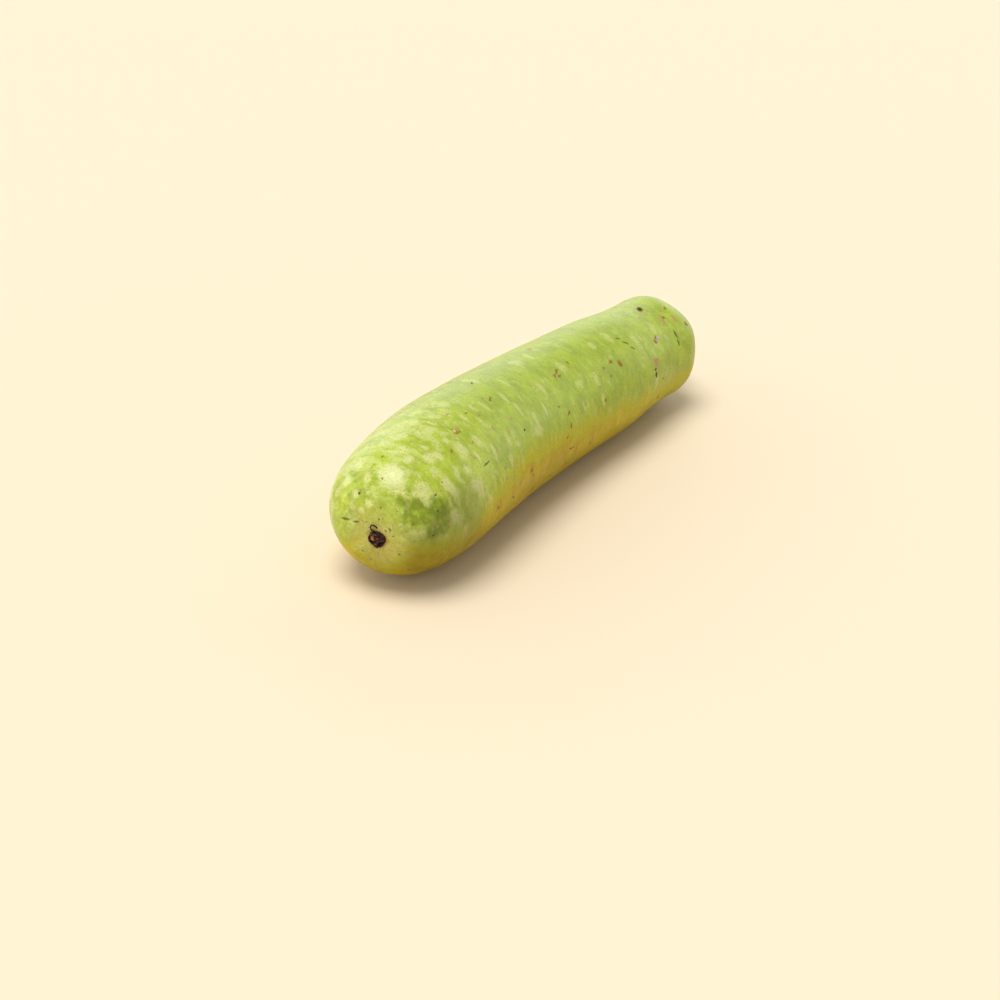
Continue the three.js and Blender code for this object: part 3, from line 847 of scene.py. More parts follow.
def small_scars(skin, grain):
    """The strength and the colour of each kind of small scar, in the order in which they are laid on."""
    graph, colours, place = skin.graph, skin.colours, skin.place
    ragged = place + (graph.noise(place, 1.1, output="Color") - (0.5, 0.5, 0.5)) * 1.2
    pink = graph.rise(skin.field(ragged, PINK_SCABS) + grain * 1.7, 0.08, 0.62) * 0.72
    brown = graph.rise(skin.field(ragged, BROWN_SCABS) + grain * 1.3, 0.0, 0.62) * 0.85
    dark = graph.rise(skin.field(ragged, DARK_SCABS) + grain * 0.4, 0.02, 0.55) * 0.93
    scratch = graph.rise(skin.field(ragged, GREEN_SCRATCHES) + grain * 0.4, 0.0, 0.6) * 0.8

    # Specks, which are thickest round the flower scar.
    often = 0.74 - graph.rise(skin.from_scar, 14.0, 7.0) * 0.48
    speck, tone = skin.specks(ragged, 4.6, (often, often + 0.25), reach=0.17, inner=0.3)
    return (
        (pink, colours.pink_scab),
        (scratch, colours.scratch),
        (speck * (0.30 + tone * 0.5), graph.mix(tone, colours.brown_scab, colours.scratch)),
        (brown, colours.brown_scab),
        (dark, colours.dark_scab),
    )


def paint_rind(graph, skin_map, scar, colours):
    """The waxy green rind, with pale flecks round the fruit, a yellow ground side partly of painted warm
    reflection, painted shade low on the fruit and small scars.
    """
    skin = Skin(graph, skin_map, scar, colours)
    place, streaks = skin.place, skin.streaks
    pale = pale_flecks(skin)
    # The ground side's yellow is partly the skin's own and partly a painted warm reflection from below.
    ground, ground_and_bounce_depth = ground_side_and_bounce(skin)
    ground = ground * (1.0 - skin.near_scar * graph.rise(skin.clump + skin.shreds * 0.8, -0.06, 0.14) * 0.75)
    colour = graph.mix(ground, green_skin(skin, pale), yellow_skin_and_bounce(skin, pale, ground_and_bounce_depth))
    colour, ring = scar_ring(skin, colour)

    # Painted shade beside the blossom end and under the fruit, deepest on its ground side, and a fine
    # mottling all over.
    painted_shade = graph.rise(graph.stored("painted_shade_marks"), 0.0, 0.9) * (1.0 - ring) * 0.36
    shade = (1.0 - painted_shade) * (1.0 - graph.rise(ground_and_bounce_depth, 0.35, 0.85) * 0.17)
    fine = (graph.noise(place, 1.8, detail=3.0) - 0.5) * 0.26
    shade = shade * (1.0 + streaks * (0.28 + skin.near_scar * 0.24) + fine)
    colour = graph.mix(1.0, colour, graph.join(shade, shade, shade), "MULTIPLY")

    grain = graph.noise(place, 0.8, detail=3.0) - 0.5
    scars = small_scars(skin, grain)
    for strength, scar_colour in scars:
        colour = graph.mix(strength, colour, scar_colour)
    pink, scratch, _, brown, dark = (strength for strength, _ in scars)

    roughness = 0.29 + pink * 0.15 + (skin.mottle - 0.5) * 0.1
    height = streaks * (0.02 * MM) + graph.noise(place, 1.4) * (0.025 * MM)
    height = height + graph.noise(place, 6.0, detail=1.0) * (0.10 * MM)
    normal = bump(graph, height + dark * (0.10 * MM) * (0.5 + grain * 2.0))

    # Waxy green skin; its scars and its ground side have lost their shine.
    waxy = principled(graph, Base_Color=colour, Roughness=roughness, IOR=1.43, Normal=normal)
    worn = principled(graph, Base_Color=colour, Roughness=0.8, Specular_IOR_Level=0.0, Normal=normal)
    wear = graph.largest(brown, dark, scratch, pink * 0.6, ground * 0.55)
    end_material(graph, graph.add("ShaderNodeMixShader", None, {"Fac": wear, 1: waxy, 2: worn}))


# ---- Small pieces made ring by ring ------------------------------------------------------------------------


class Shell:
    """Collects points and faces, with the value of each attribute at each point."""

    def __init__(self, *attributes):
        self.points = []
        self.faces = []
        self.values = {name: [] for name in attributes}

    def add(self, points, faces, **values):
        """Adds points and the faces between them. Attributes left out are 0."""
        first = len(self.points)
        self.points += [tuple(point) for point in points]
        self.faces += [tuple(first + corner for corner in face) for face in faces]
        for name, collected in self.values.items():
            collected += values.get(name, [0.0] * len(points))

    def to_piece(self, name, matrix, material):
        """A smooth mesh object of the points, moved by the matrix."""
        mesh = bpy.data.meshes.new(name)
        mesh.from_pydata([matrix @ Vector(point) for point in self.points], [], self.faces)
        for label, collected in self.values.items():
            mesh.attributes.new(label, "FLOAT", "POINT").data.foreach_set("value", collected)
        mesh.shade_smooth()
        mesh.materials.append(material)
        return new_object(name, mesh)


def ring_angles(sides):
    """The angles of a ring's points."""
    return [2 * math.pi * side / sides for side in range(sides)]


def loft(rings, start, end):
    """Points and faces of a closed skin: a tip, rings of points and a tip.

    The rings turn anticlockwise as seen from the end tip.
    """
    sides = len(rings[0])
    points = [start, *(point for ring in rings for point in ring), end]
    faces = []
    for side in range(sides):
        after = (side + 1) % sides
        faces.append((0, 1 + after, 1 + side))
        for ring in range(len(rings) - 1):
            low, high = 1 + ring * sides, 1 + (ring + 1) * sides
            faces.append((low + side, low + after, high + after, high + side))
        top = 1 + (len(rings) - 1) * sides
        faces.append((len(points) - 1, top + side, top + after))
    return points, faces


def standing_out(outward, middle):
    """Places a piece on the skin: X across it, Y as near upwards as it can be, and Z out from it."""
    upright = (Vector((0, 0, 1)) - outward * outward.z).normalized()
    turn = Matrix((upright.cross(outward), upright, outward)).transposed().to_4x4()
    return Matrix.Translation(middle) @ turn @ Matrix.Scale(MM, 4)


def smooth_path(points, steps):
    """Points at even steps of a smooth curve through the given ones (Catmull-Rom)."""
    knots = [Vector(point) for point in points]
    knots = [knots[0] * 2 - knots[1], *knots, knots[-1] * 2 - knots[-2]]
    path = []
    for step in range(steps + 1):
        place = step / steps * (len(knots) - 3)
        index = min(int(place), len(knots) - 4)
        t = place - index
        a, b, c, d = knots[index : index + 4]
        path.append(b + 0.5 * t * (c - a + t * (2 * a - 5 * b + 4 * c - d + t * (3 * (b - c) + d - a))))
    return path


def tube(path, radius_at, sides):
    """Points and faces of a tube along a path. Its radius is a function of the share and the angle."""
    rings = []
    across = Vector((0, 0, 1)).cross(path[1] - path[0]).normalized()
    for index, point in enumerate(path):
        forward = (path[min(index + 1, len(path) - 1)] - path[max(index - 1, 0)]).normalized()
        across = (across - forward * across.dot(forward)).normalized()
        upward = forward.cross(across)
        share = index / (len(path) - 1)
        rings.append(
            [
                point + (across * math.cos(angle) + upward * math.sin(angle)) * radius_at(share, angle)
                for angle in ring_angles(sides)
            ]
        )
    return loft(rings, path[0], path[-1])


# ---- The flower's remains ----------------------------------------------------------------------------------

# Millimetres on the skin: X across it, Y up it and Z out from it.
SCAR_RADIUS = 4.15
SCAR_OUTWARD = Vector((-1.0, -0.13, -0.075)).normalized()
CRUST_ROOT = 1.2
CRUST_RINGS = 52
CRUST_SIDES = 120
CRUST_SHARES = (0.0, 0.24, 0.46, 0.66, 0.86, 0.95, 1.0)
CRUST_HEIGHTS = (0.95, 0.70, 0.65, 0.90, 1.00, 0.65, 0.0)
CRUST_THINNEST = 0.35

# Folds of the dried flower: from, to, height and half width.
CRUST_FOLDS = (
    ((-1.0, 0.1), (1.1, -0.7), 0.55, 0.22),
    ((1.1, -0.7), (3.7, 0.6), 0.70, 0.22),
    ((-3.5, 2.3), (-2.0, 2.5), 0.45, 0.25),
    ((-2.0, 2.5), (0.5, 2.6), 0.55, 0.28),
    ((-1.1, 2.3), (-0.5, -1.6), 0.40, 0.22),
    ((0.8, 1.9), (2.6, 1.5), 0.35, 0.25),
    ((-2.6, -2.0), (-0.4, -2.4), 0.40, 0.22),
    ((0.0, -1.6), (0.6, -3.6), 0.35, 0.25),
)
# Shrivelled flaps that lie on the crust: place, half sizes, height and paleness.
CRUST_FLAPS = (
    ((-1.75, 0.45), (0.85, 1.35), 0.55, 1.0),
    ((0.55, 0.75), (0.85, 0.55), 0.35, 0.45),
    ((-0.8, 2.9), (0.9, 0.30), 0.20, 0.30),
    ((0.1, -2.2), (0.7, 0.75), 0.25, 0.35),
)
# Pits, darkened with painted shade: place, radius and depth.
CRUST_PITS = (
    ((-0.6, 3.45), 0.50, 0.9),
    ((2.1, -1.2), 0.75, 0.8),
    ((1.3, -2.4), 0.55, 0.8),
    ((3.3, -0.7), 0.50, 0.6),
    ((-2.2, -1.6), 0.65, 0.7),
    ((-3.2, 0.6), 0.35, 0.5),
    ((1.9, 2.5), 0.55, 0.5),
)
# Curled flaps that stand at the rim: angle, length, width, how far they lean out and their curl.
RIM_FLAPS = (
    (2.75, 1.5, 1.8, 0.2, 0.9),
    (3.55, 1.3, 1.5, 0.5, 0.7),
    (0.25, 1.4, 1.7, 0.3, 0.8),
    (0.95, 1.1, 1.4, 0.6, 0.6),
    (4.55, 1.2, 1.0, 1.0, 0.3),
    (5.35, 1.1, 1.5, 0.7, 0.7),
    (1.75, 1.0, 1.3, 0.4, 0.9),
)
# The dried style, a thread that hooks over above the crust.
STYLE_STEPS = 60
STYLE_SIDES = 14
STYLE_PATH = (
    (-1.2, 2.4, 0.3),
    (-1.35, 3.2, 0.6),
    (-1.7, 4.4, 1.0),
    (-2.35, 5.8, 1.35),
    (-2.2, 7.0, 1.6),
    (-1.45, 7.8, 1.7),
    (-0.2, 7.5, 1.5),
    (1.0, 6.3, 1.1),
)


def raggedness(angle):
    """The crust's ragged outline as a share of its radius."""
    way = Vector((math.cos(angle), math.sin(angle), 0.0))
    coarse = 1 + 0.13 * noise.noise(way * 1.4 + Vector((5.3, 0.0, 0.0))) + 0.08 * noise.noise(way * 3.4)
    spike = 0.16 * math.exp(-(((angle - 4.78) / 0.10) ** 2))
    return coarse + spike + 0.06 * noise.noise(way * 8.0) + 0.03 * noise.noise(way * 19.0)


def from_segment(x, y, start, end):
    """Distance of a place from a straight fold."""
    run = (end[0] - start[0], end[1] - start[1])
    share = ((x - start[0]) * run[0] + (y - start[1]) * run[1]) / (run[0] ** 2 + run[1] ** 2)
    share = min(max(share, 0.0), 1.0)
    return math.hypot(x - start[0] - share * run[0], y - start[1] - share * run[1])


def crust_point(share, angle):
    """A place on the crust: its point, how pale it is (below 0 in its pits, for painted shade) and how rusty
    its rim is.
    """
    reach = SCAR_RADIUS * share * raggedness(angle)
    x, y = reach * math.cos(angle), reach * math.sin(angle)
    height = float(np.interp(share, CRUST_SHARES, CRUST_HEIGHTS))
    pale = 0.0
    for start, end, rise, width in CRUST_FOLDS:
        ridge = math.exp(-((from_segment(x, y, start, end) / width) ** 2))
        height += rise * ridge * (1 - share**6)
        pale += 0.75 * ridge * rise
    for (middle_x, middle_y), (half_x, half_y), rise, paleness in CRUST_FLAPS:
        distance = math.hypot((x - middle_x) / half_x, (y - middle_y) / half_y)
        flap = 1 / (1 + math.exp(9 * (distance - 1)))
        height += rise * flap
        pale += paleness * flap
    for (middle_x, middle_y), radius, depth in CRUST_PITS:
        pit = math.exp(-((math.hypot(x - middle_x, y - middle_y) / radius) ** 2))
        height -= depth * pit
        # A pit takes the paleness below 0, where shade is painted.
        pale -= 0.8 * pit
    crumple = noise.noise(Vector((x * 1.1, y * 1.1, 3.0))) * 0.30
    crumple += noise.noise(Vector((x * 2.9, y * 2.9, 8.0))) * 0.14
    height += crumple * math.sin(math.pi * min(share, 0.94)) ** 0.5
    height = max(height, CRUST_THINNEST * (1 - share**12))
    rust = max(0.0, (share - 0.86) / 0.14) * max(0.0, 0.45 - 0.75 * math.sin(angle + 0.2))
    return Vector((x, y, height)), min(max(pale, -1.0), 1.0), min(rust, 1.0)


def add_crust(shell):
    """The dark crust that fills the scar, with its folds, flaps and pits."""
    shares = [1 - ring / CRUST_RINGS for ring in range(CRUST_RINGS)]
    places = [[crust_point(share, angle) for angle in ring_angles(CRUST_SIDES)] for share in shares]
    edge = [point for point, _, _ in places[0]]
    root = [Vector((point.x * 0.92, point.y * 0.92, -CRUST_ROOT)) for point in edge]
    low_edge = [Vector((point.x, point.y, -0.5)) for point in edge]
    rings = [root, low_edge, *([point for point, _, _ in ring] for ring in places)]
    middle, middle_pale, _ = crust_point(0.0, 0.0)
    points, faces = loft(rings, Vector((0, 0, -CRUST_ROOT)), middle)
    flat = [place for ring in places for place in ring]
    hidden = 1 + 2 * CRUST_SIDES
    pale = [0.0] * hidden + [paleness for _, paleness, _ in flat] + [middle_pale]
    rust = [0.6] * hidden + [rusty for _, _, rusty in flat] + [0.0]
    shell.add(points, faces, pale=pale, rust=rust)


def add_rim_flap(shell, angle, length, width, lean, curl, seed):
    """A papery flap that stands on the rim and curls over."""
    columns, rows, thickness = 12, 10, 0.09
    outward = Vector((math.cos(angle), math.sin(angle), 0))
    aside = Vector((-outward.y, outward.x, 0))
    root = outward * (SCAR_RADIUS * raggedness(angle) * 0.86)
    layers = ([], [])
    for row in range(rows):
        run = row / (rows - 1)
        bend = lean - curl * run * 2.2
        rise = math.sin(run * 1.2) * length * 0.75
        for column in range(columns):
            offset = column / (columns - 1) - 0.5
            ragged = 1 - 0.35 * run * abs(noise.noise(Vector((offset * 6, seed, 1.0))))
            ragged -= 0.5 * run * offset**2
            crumple = noise.noise(Vector((offset * 4, run * 3, seed * 2.0))) * 0.28
            point = root + aside * (offset * width * (1 - 0.3 * run))
            point += outward * (run * length * 0.5 * math.sin(bend) + crumple - offset**2 * 0.8)
            point.z += 0.35 + rise * ragged
            layers[0].append(point)
            layers[1].append(point - outward * thickness + Vector((0, 0, -0.02)))
    count = columns * rows
    faces = []
    for row in range(rows - 1):
        for column in range(columns - 1):
            a = row * columns + column
            faces.append((a, a + 1, a + columns + 1, a + columns))
            faces.append((count + a, count + a + columns, count + a + columns + 1, count + a + 1))
    border = [*range(columns)]
    border += [row * columns + columns - 1 for row in range(1, rows)]
    border += [(rows - 1) * columns + column for column in range(columns - 2, -1, -1)]
    border += [row * columns for row in range(rows - 2, 0, -1)]
    for index, corner in enumerate(border):
        after = border[(index + 1) % len(border)]
        faces.append((after, corner, count + corner, count + after))
    edge = [0.25 + 0.5 * (row / (rows - 1)) ** 2 for row in range(rows) for _ in range(columns)]
    pale = [0.25 * value for value in edge * 2]
    shell.add(layers[0] + layers[1], faces, pale=pale, rust=[0.2] * (2 * count))


def add_style(shell):
    """The dried thread, thick at its root, thin in its bend and swollen at its tip."""

    def radius_at(share, angle):
        """The thread's radius, uneven along it and a little flattened."""
        size = 0.34 + 0.22 * (1 - min(share / 0.4, 1.0)) + 0.09 * math.exp(-(((share - 0.90) / 0.07) ** 2))
        size *= 1 - max(0.0, share - 0.96) * 12
        return size * (1 + 0.16 * math.sin(2 * angle + 6 * share) + 0.10 * math.sin(41 * share))

    points, faces = tube(smooth_path(STYLE_PATH, STYLE_STEPS), radius_at, STYLE_SIDES)
    shell.add(points, faces, thread=[1.0] * len(points))


def paint_dried_flower(graph, colours):
    """Dry, crumpled brown tissue, paler on its flaps, rusty at its rim and with painted shade in its pits."""
    place = graph.object_place()
    pale = graph.stored("pale")
    veins = graph.noise(place, 0.45, detail=4.0, roughness=0.65)
    patches = graph.noise(place, 1.4, detail=3.0) + veins * 0.4
    thread = graph.mix(veins, colours.thread_dark, colours.thread)
    colour = graph.mix(graph.rise(patches, 0.5, 0.95), colours.flower_dark, colours.flower)
    # Painted shade at the bottoms of the pits.
    colour = graph.mix(graph.rise(pale, 0.0, -0.5), colour, colours.painted_pit_shade)
    colour = graph.mix(graph.rise(pale + (veins - 0.5) * 0.5, 0.15, 0.95), colour, colours.flower_flap)
    rust = graph.stored("rust") + (veins - 0.5) * 0.6
    colour = graph.mix(graph.rise(rust, 0.25, 0.9), colour, colours.flower_rim)
    colour = graph.mix(graph.stored("thread"), colour, thread)
    height = veins * (0.10 * MM) + graph.noise(place, 0.18) * (0.03 * MM)
    surface = principled(
        graph,
        Base_Color=colour,
        Roughness=0.62 - pale * 0.15,
        Specular_IOR_Level=0.2,
        Normal=bump(graph, height),
    )
    end_material(graph, surface)


# ---- The cut stalk -----------------------------------------------------------------------------------------

# Height above the skin against radius in millimetres, from its root in the fruit to its cut end.
STALK_PROFILE = (
    (-2.0, 5.6),
    (0.0, 6.4),
    (0.7, 6.35),
    (1.4, 6.1),
    (2.8, 5.2),
    (5.0, 4.6),
    (8.0, 4.4),
    (10.4, 4.5),
    (10.8, 4.4),
    (11.0, 4.15),
)
STALK_SIDES = 150
STALK_RINGS = 64
STALK_RIDGES = 5
STALK_RIDGE_DEPTH = 0.45
STALK_LEAN = 0.06
CUT_SLOPE = 0.12
# The cut face: share of its radius against height over its rim.
CUT_SHARES = (0.0, 0.16, 0.24, 0.40, 0.62, 0.70, 0.78, 0.90, 1.0)
CUT_HEIGHTS = (-1.5, -1.35, -0.65, -0.50, -0.32, -0.15, -0.22, -0.05, 0.0)
CUT_RINGS = 34
CUT_BUNDLES = 15


def stalk_radius(height, angle):
    """How far the stalk's side is from its axis, with its ridges and fibres."""
    heights, radii = zip(*STALK_PROFILE)
    radius = float(np.interp(height, heights, radii))
    grown = min(max(height, 0.0), 1.5) / 1.5
    ridged = math.cos(STALK_RIDGES * angle) + 0.25 * math.cos(2 * STALK_RIDGES * angle + 0.8)
    fibres = noise.noise(Vector((math.cos(angle) * 9, math.sin(angle) * 9, height * 0.35)))
    fibres += 0.5 * noise.noise(Vector((math.cos(angle) * 22, math.sin(angle) * 22, height * 0.5)))
    return radius + grown * (STALK_RIDGE_DEPTH * ridged + 0.16 * fibres)


def stalk_point(reach, angle, height, lift=0.0):
    """A place of the stalk by its distance from the axis, with the lean and the slope of the cut."""
    x, y = reach * math.cos(angle), reach * math.sin(angle)
    raised = max(height, 0.0) / STALK_PROFILE[-1][0]
    return Vector((x + STALK_LEAN * height, y, height + lift + CUT_SLOPE * x * raised))


def cut_lift(share, x, y, angle):
    """Height of the cut face over its rim: its profile, its rough grain and its ring of fibre bundles."""
    coarse = noise.noise(Vector((x * 2.2, y * 2.2, 5.0)))
    fine = noise.noise(Vector((x * 6, y * 6, 1.0)))
    bundle = math.cos(CUT_BUNDLES * angle) * math.exp(-(((share - 0.70) / 0.06) ** 2))
    height = float(np.interp(share, CUT_SHARES, CUT_HEIGHTS))
    return height + (0.16 * coarse + 0.10 * fine) + 0.12 * bundle


def add_stalk(shell):
    """The ridged stub and its fibrous cut face."""
    bottom, top = STALK_PROFILE[0][0], STALK_PROFILE[-1][0]
    angles = ring_angles(STALK_SIDES)
    rings = []
    for index in range(STALK_RINGS):
        height = bottom + (top - bottom) * index / (STALK_RINGS - 1)
        rings.append([stalk_point(stalk_radius(height, angle), angle, height) for angle in angles])
    for index in range(1, CUT_RINGS):
        share = 1 - index / CUT_RINGS
        ring = []
        for angle in angles:
            reach = stalk_radius(top, angle) * share
            lift = cut_lift(share, reach * math.cos(angle), reach * math.sin(angle), angle)
            ring.append(stalk_point(reach, angle, top, lift))
        rings.append(ring)
    root = Vector((STALK_LEAN * bottom, 0, bottom))
    points, faces = loft(rings, root, stalk_point(0.0, 0.0, top, CUT_HEIGHTS[0]))
    on_side = 1 + STALK_RINGS * STALK_SIDES
    shell.add(points, faces, cut=[0.0] * on_side + [1.0] * (len(points) - on_side))


def paint_stalk(graph, matrix, colours):
    """Grey-green bark with tan streaks along it, and a dry fibrous cut face."""
    inverse = matrix.inverted()
    sockets = {
        "Vector": graph.add("ShaderNodeTexCoord", None, None, "Object"),
        "Location": inverse.to_translation(),
        "Rotation": inverse.to_euler(),
        "Scale": inverse.to_scale(),
    }
    local = graph.add("ShaderNodeMapping", {"vector_type": "POINT"}, sockets)
    x, y, height = graph.split(local)
    fibres = graph.noise(local * (1.0, 1.0, 0.16), 0.55, detail=4.0, roughness=0.6)
    patches = graph.noise(local, 3.0, detail=3.0)
    bark = graph.mix(graph.rise(fibres, 0.35, 0.68), colours.bark, colours.bark_fibre)
    bark = graph.mix(graph.rise(patches, 0.50, 0.68) * 0.7, bark, colours.bark_stain)
    bark = graph.mix(graph.rise(height + patches * 2.0, 3.6, 1.2) * 0.75, bark, colours.bark_foot)

    # The cut face: pale ring of fibres, tan flesh and a dark hollow middle.
    radius = graph.root(x * x + y * y)
    grain = graph.noise(local * (1.0, 1.0, 0.3), 0.38, detail=4.0, roughness=0.7)
    face = graph.mix(graph.rise(grain, 0.35, 0.65), colours.cut_flesh, colours.cut_fibre)
    face = graph.mix(graph.rise(radius + (grain - 0.5) * 1.2, 2.2, 0.8), face, colours.cut_middle)
    face = graph.mix(graph.rise(radius + (grain - 0.5) * 0.8, 3.5, 4.1) * 0.6, face, colours.cut_edge)
    cut = graph.stored("cut")
    colour = graph.mix(cut, bark, face)
    normal = bump(graph, fibres * (0.10 * MM) + grain * (0.05 * MM))
    roughness = 0.68 + cut * 0.15
    end_material(graph, principled(graph, Base_Color=colour, Roughness=roughness, IOR=1.45, Normal=normal))


# ---- Beads of dried sap ------------------------------------------------------------------------------------

BEAD_RINGS = 14
BEAD_SIDES = 28
# A bead's height as a share of its width, and how much of its radius its middle is sunk in the skin.
BEAD_FLATNESS = 0.62
BEAD_SUNK = 0.15


def add_bead(shell, middle, outward, bead, seed):
    """A low, uneven drop that has dried on the skin."""
    matrix = standing_out(outward, middle)
    rows = []
    for ring in range(1, BEAD_RINGS):
        polar = math.pi * ring / BEAD_RINGS
        across = math.sin(polar)
        row = []
        for angle in ring_angles(BEAD_SIDES):
            way = Vector((across * math.cos(angle), across * math.sin(angle), -math.cos(polar)))
            size = bead.radius * (1 + 0.35 * noise.noise(way * 1.1 + Vector((seed, 0, 0))))
            row.append(matrix @ Vector((way.x * size, way.y * size, way.z * size * BEAD_FLATNESS)))
        rows.append(row)
    top = Vector((0, 0, bead.radius * BEAD_FLATNESS))
    points, faces = loft(rows, matrix @ -top, matrix @ top)
    shell.add(points, faces, amber=[bead.amber] * len(points))


def paint_sap(graph, colours):
    """Clear amber where it stands thick, and milky where it has dried white."""
    cloud = graph.noise(graph.object_place(), 0.8)
    clear = graph.mix(cloud, colours.amber_deep, colours.amber)
    milky = graph.mix(cloud, colours.milky_dark, colours.milky)
    colour = graph.mix(graph.stored("amber"), milky, clear)
    end_material(graph, principled(graph, Base_Color=colour, Roughness=0.12, IOR=1.48))


# ---- Stage settings ----------------------------------------------------------------------------------------

FLOOR_REACH = 20.0

# The room: the way to its bright wall, and the strengths of its bright wall, its dim wall and its ceiling.
BRIGHT_SIDE = Vector((0.20, 0.98, 0.0)).normalized()
ROOM_BRIGHT = 1.5
ROOM_DIM = 0.45
ROOM_CEILING = 0.38
ROOM_COLOUR = (1.0, 1.0, 1.0, 1.0)

# The overhead light: the way to it, how wide it looks, and its power.
KEY_SIDE = Vector((-0.24, 0.07, 0.96))
KEY_WIDTH = math.radians(38)
KEY_POWER = 2.3
KEY_COLOUR = (1.0, 1.0, 1.0)

CAMERA_PLACE = Vector((-0.94466, -0.50584, 0.53377))
CAMERA_TARGET = Vector((-0.08077, -0.03178, 0.03))
CAMERA_ROLL = math.radians(3.066)
CAMERA_SENSOR_MM = 36.0
CAMERA_LENS_MM = 86.217


# ---- Operators ---------------------------------------------------------------------------------------------


class GOURD_OT_skin(bpy.types.Operator):
    """Make the fruit's skin from its stations"""

    bl_idname = "gourd.skin"
    bl_label = "Fruit"

    def execute(self, context):
        shape = context.scene.gourd_shape
        material, graph = new_material("rind")
        piece = run_tree("gourd_skin", guide_mesh(shape), skin_tree(), skin_values(shape, material))
        scar = (0.0, shape.scar_offset[1] / MM, shape.scar_offset[2] / MM)
        skin_map = SkinMap(piece.data)
        for name, broad_marks in BROAD_MARKS.items():
            skin_map.store_marks(piece.data, name, broad_marks)
        paint_rind(graph, skin_map, scar, context.scene.gourd_colours)
        finish_piece(piece, "rind", "fruit")
        return {"FINISHED"}


class GOURD_OT_flower(bpy.types.Operator):
    """Make the dried remains of the flower at the blossom end"""

    bl_idname = "gourd.flower"
    bl_label = "Dried flower"

    def execute(self, context):
        shape = context.scene.gourd_shape
        shell = Shell("pale", "rust", "thread")
        add_crust(shell)
        for seed, flap in enumerate(RIM_FLAPS):
            add_rim_flap(shell, *flap, seed=seed)
        add_style(shell)
        pole = Vector((0.0, shape.bows[0], shape.heights[0])) + Vector(shape.tip_skew)
        middle = pole + Vector(shape.scar_offset) + Vector(shape.foot) - SCAR_OUTWARD * BLOSSOM_BASIN[0]
        material, graph = new_material("dried flower")
        paint_dried_flower(graph, context.scene.gourd_colours)
        piece = shell.to_piece("flower_remains", standing_out(SCAR_OUTWARD, middle), material)
        finish_piece(piece, "dried_flower", "blossom_remains")
        return {"FINISHED"}


class GOURD_OT_stalk(bpy.types.Operator):
    """Make the stub of the cut stalk"""

    bl_idname = "gourd.stalk"
    bl_label = "Cut stalk"

    def execute(self, context):
        shape = context.scene.gourd_shape
        step = shape.length / (len(STATIONS) - 1)
        pole = Vector((shape.length, shape.bows[-1], shape.heights[-1]))
        outward = (pole - Vector((shape.length - step, shape.bows[-2], shape.heights[-2]))).normalized()
        middle = pole + Vector(shape.foot) - outward * STALK_BASIN[0]
        matrix = standing_out(outward, middle)
        shell = Shell("cut")
        add_stalk(shell)
        material, graph = new_material("cut stalk")
        paint_stalk(graph, matrix, context.scene.gourd_colours)
        piece = shell.to_piece("stalk_stub", matrix, material)
        finish_piece(piece, "stalk", "cut_stalk")
        return {"FINISHED"}


class GOURD_OT_sap(bpy.types.Operator):
    """Make the beads of dried sap on the skin"""

    bl_idname = "gourd.sap"
    bl_label = "Sap beads"

    def execute(self, context):
        skin = bpy.data.objects.get("gourd_skin")
        if skin is None:
            raise RuntimeError("Make the fruit before its sap beads")
        skin_map = SkinMap(skin.data)
        shell = Shell("amber")
        for seed, bead in enumerate(SAP_BEADS):
            _, place, normal = skin_map.find(bead.along, bead.around)
            add_bead(shell, place - normal * (bead.radius * BEAD_SUNK * MM), normal, bead, seed)
        material, graph = new_material("dried sap")
        paint_sap(graph, context.scene.gourd_colours)
        piece = shell.to_piece("sap_beads", Matrix.Identity(4), material)
        finish_piece(piece, "rind")
        return {"FINISHED"}


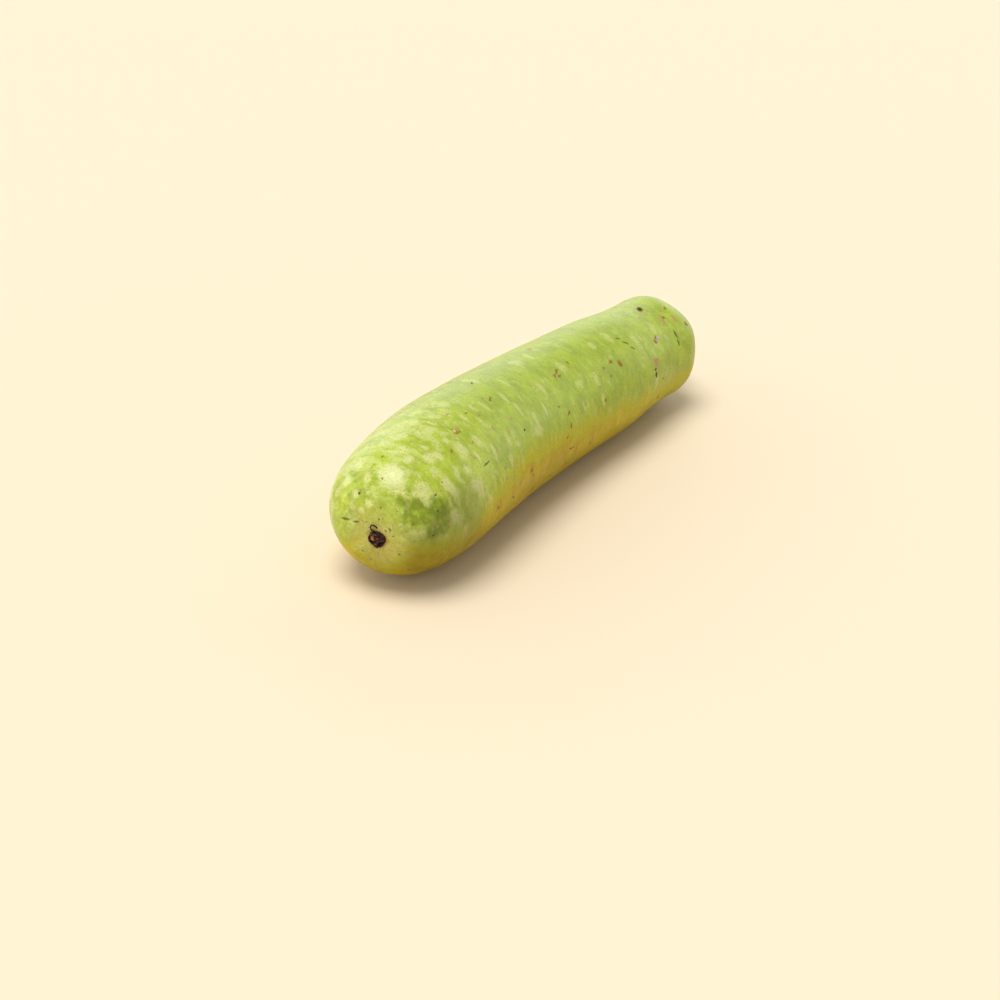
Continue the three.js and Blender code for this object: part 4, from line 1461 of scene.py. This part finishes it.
class GOURD_OT_stage(bpy.types.Operator):
    """Set the floor, the lights and the camera"""

    bl_idname = "gourd.stage"
    bl_label = "Stage"

    def execute(self, context):
        scene = context.scene
        self.add_floor(scene.gourd_colours.floor)
        self.add_room(scene)
        self.add_key_light()
        self.add_camera(scene)
        scene.view_settings.view_transform = "Standard"
        return {"FINISHED"}

    @staticmethod
    def add_floor(colour):
        """A wide pale floor."""
        corners = [(-1, -1, 0), (1, -1, 0), (1, 1, 0), (-1, 1, 0)]
        mesh = bpy.data.meshes.new("floor")
        mesh.from_pydata([Vector(corner) * FLOOR_REACH for corner in corners], [], [(0, 1, 2, 3)])
        floor = new_object("floor", mesh)
        material, graph = new_material("pale floor")
        end_material(graph, principled(graph, Base_Color=colour, Roughness=0.7))
        mesh.materials.append(material)

    @staticmethod
    def add_room(scene):
        """A white room, brighter behind the gourd than in front of it."""
        world = bpy.data.worlds.new("soft room")
        graph = empty_nodes(world)
        direction = graph.add("ShaderNodeTexCoord", None, None, "Generated")
        facing = graph.vector_math("DOT_PRODUCT", direction, BRIGHT_SIDE, output="Value")
        height = graph.split(direction)[2]
        wall = graph.rise(facing, -0.75, -0.2) * (ROOM_BRIGHT - ROOM_DIM) + ROOM_DIM
        ceiling = graph.rise(height, 0.40, 0.62)
        strength = wall + (ROOM_CEILING - wall) * ceiling
        light = graph.add("ShaderNodeBackground", None, {"Color": ROOM_COLOUR, "Strength": strength})
        graph.add("ShaderNodeOutputWorld", None, {"Surface": light})
        scene.world = world

    @staticmethod
    def add_key_light():
        """One very broad soft light overhead."""
        light = bpy.data.lights.new("overhead light", "SUN")
        light.energy = KEY_POWER
        light.angle = KEY_WIDTH
        light.color = KEY_COLOUR
        lamp = new_object("overhead light", light)
        lamp.rotation_euler = (-KEY_SIDE).to_track_quat("-Z", "Y").to_euler()

    @staticmethod
    def add_camera(scene):
        """A camera that looks down the fruit from its blossom end."""
        camera = bpy.data.cameras.new("camera")
        camera.sensor_width = CAMERA_SENSOR_MM
        camera.lens = CAMERA_LENS_MM
        view = new_object("camera", camera)
        view.location = CAMERA_PLACE
        aim = (CAMERA_TARGET - CAMERA_PLACE).to_track_quat("-Z", "Y")
        view.rotation_euler = (aim @ Quaternion((0.0, 0.0, 1.0), CAMERA_ROLL)).to_euler()
        scene.camera = view


class GOURD_PT_panel(bpy.types.Panel):
    """Lists the gourd's pieces and sizes"""

    bl_idname = "GOURD_PT_panel"
    bl_label = "Bottle gourd"
    bl_space_type = "VIEW_3D"
    bl_region_type = "UI"
    bl_category = "Gourd"

    def draw(self, context):
        layout = self.layout
        for group in (context.scene.gourd_shape, context.scene.gourd_colours):
            for name in group.bl_rna.properties.keys():
                if name not in ("rna_type", "name"):
                    layout.prop(group, name)
        for operator in OPERATORS:
            layout.operator(operator.bl_idname)


OPERATORS = (GOURD_OT_skin, GOURD_OT_flower, GOURD_OT_stalk, GOURD_OT_sap, GOURD_OT_stage)
CLASSES = (GourdShape, GourdColours, *OPERATORS, GOURD_PT_panel)


def register():
    """Registers the classes and their scene properties."""
    for cls in CLASSES:
        bpy.utils.register_class(cls)
    bpy.types.Scene.gourd_shape = PointerProperty(type=GourdShape)
    bpy.types.Scene.gourd_colours = PointerProperty(type=GourdColours)


def unregister():
    """Undoes register()."""
    del bpy.types.Scene.gourd_colours
    del bpy.types.Scene.gourd_shape
    for cls in reversed(CLASSES):
        bpy.utils.unregister_class(cls)


def main():
    """Makes every piece in order."""
    register()
    bpy.ops.gourd.skin()
    bpy.ops.gourd.flower()
    bpy.ops.gourd.stalk()
    bpy.ops.gourd.sap()
    bpy.ops.gourd.stage()


if __name__ == "__main__":
    main()
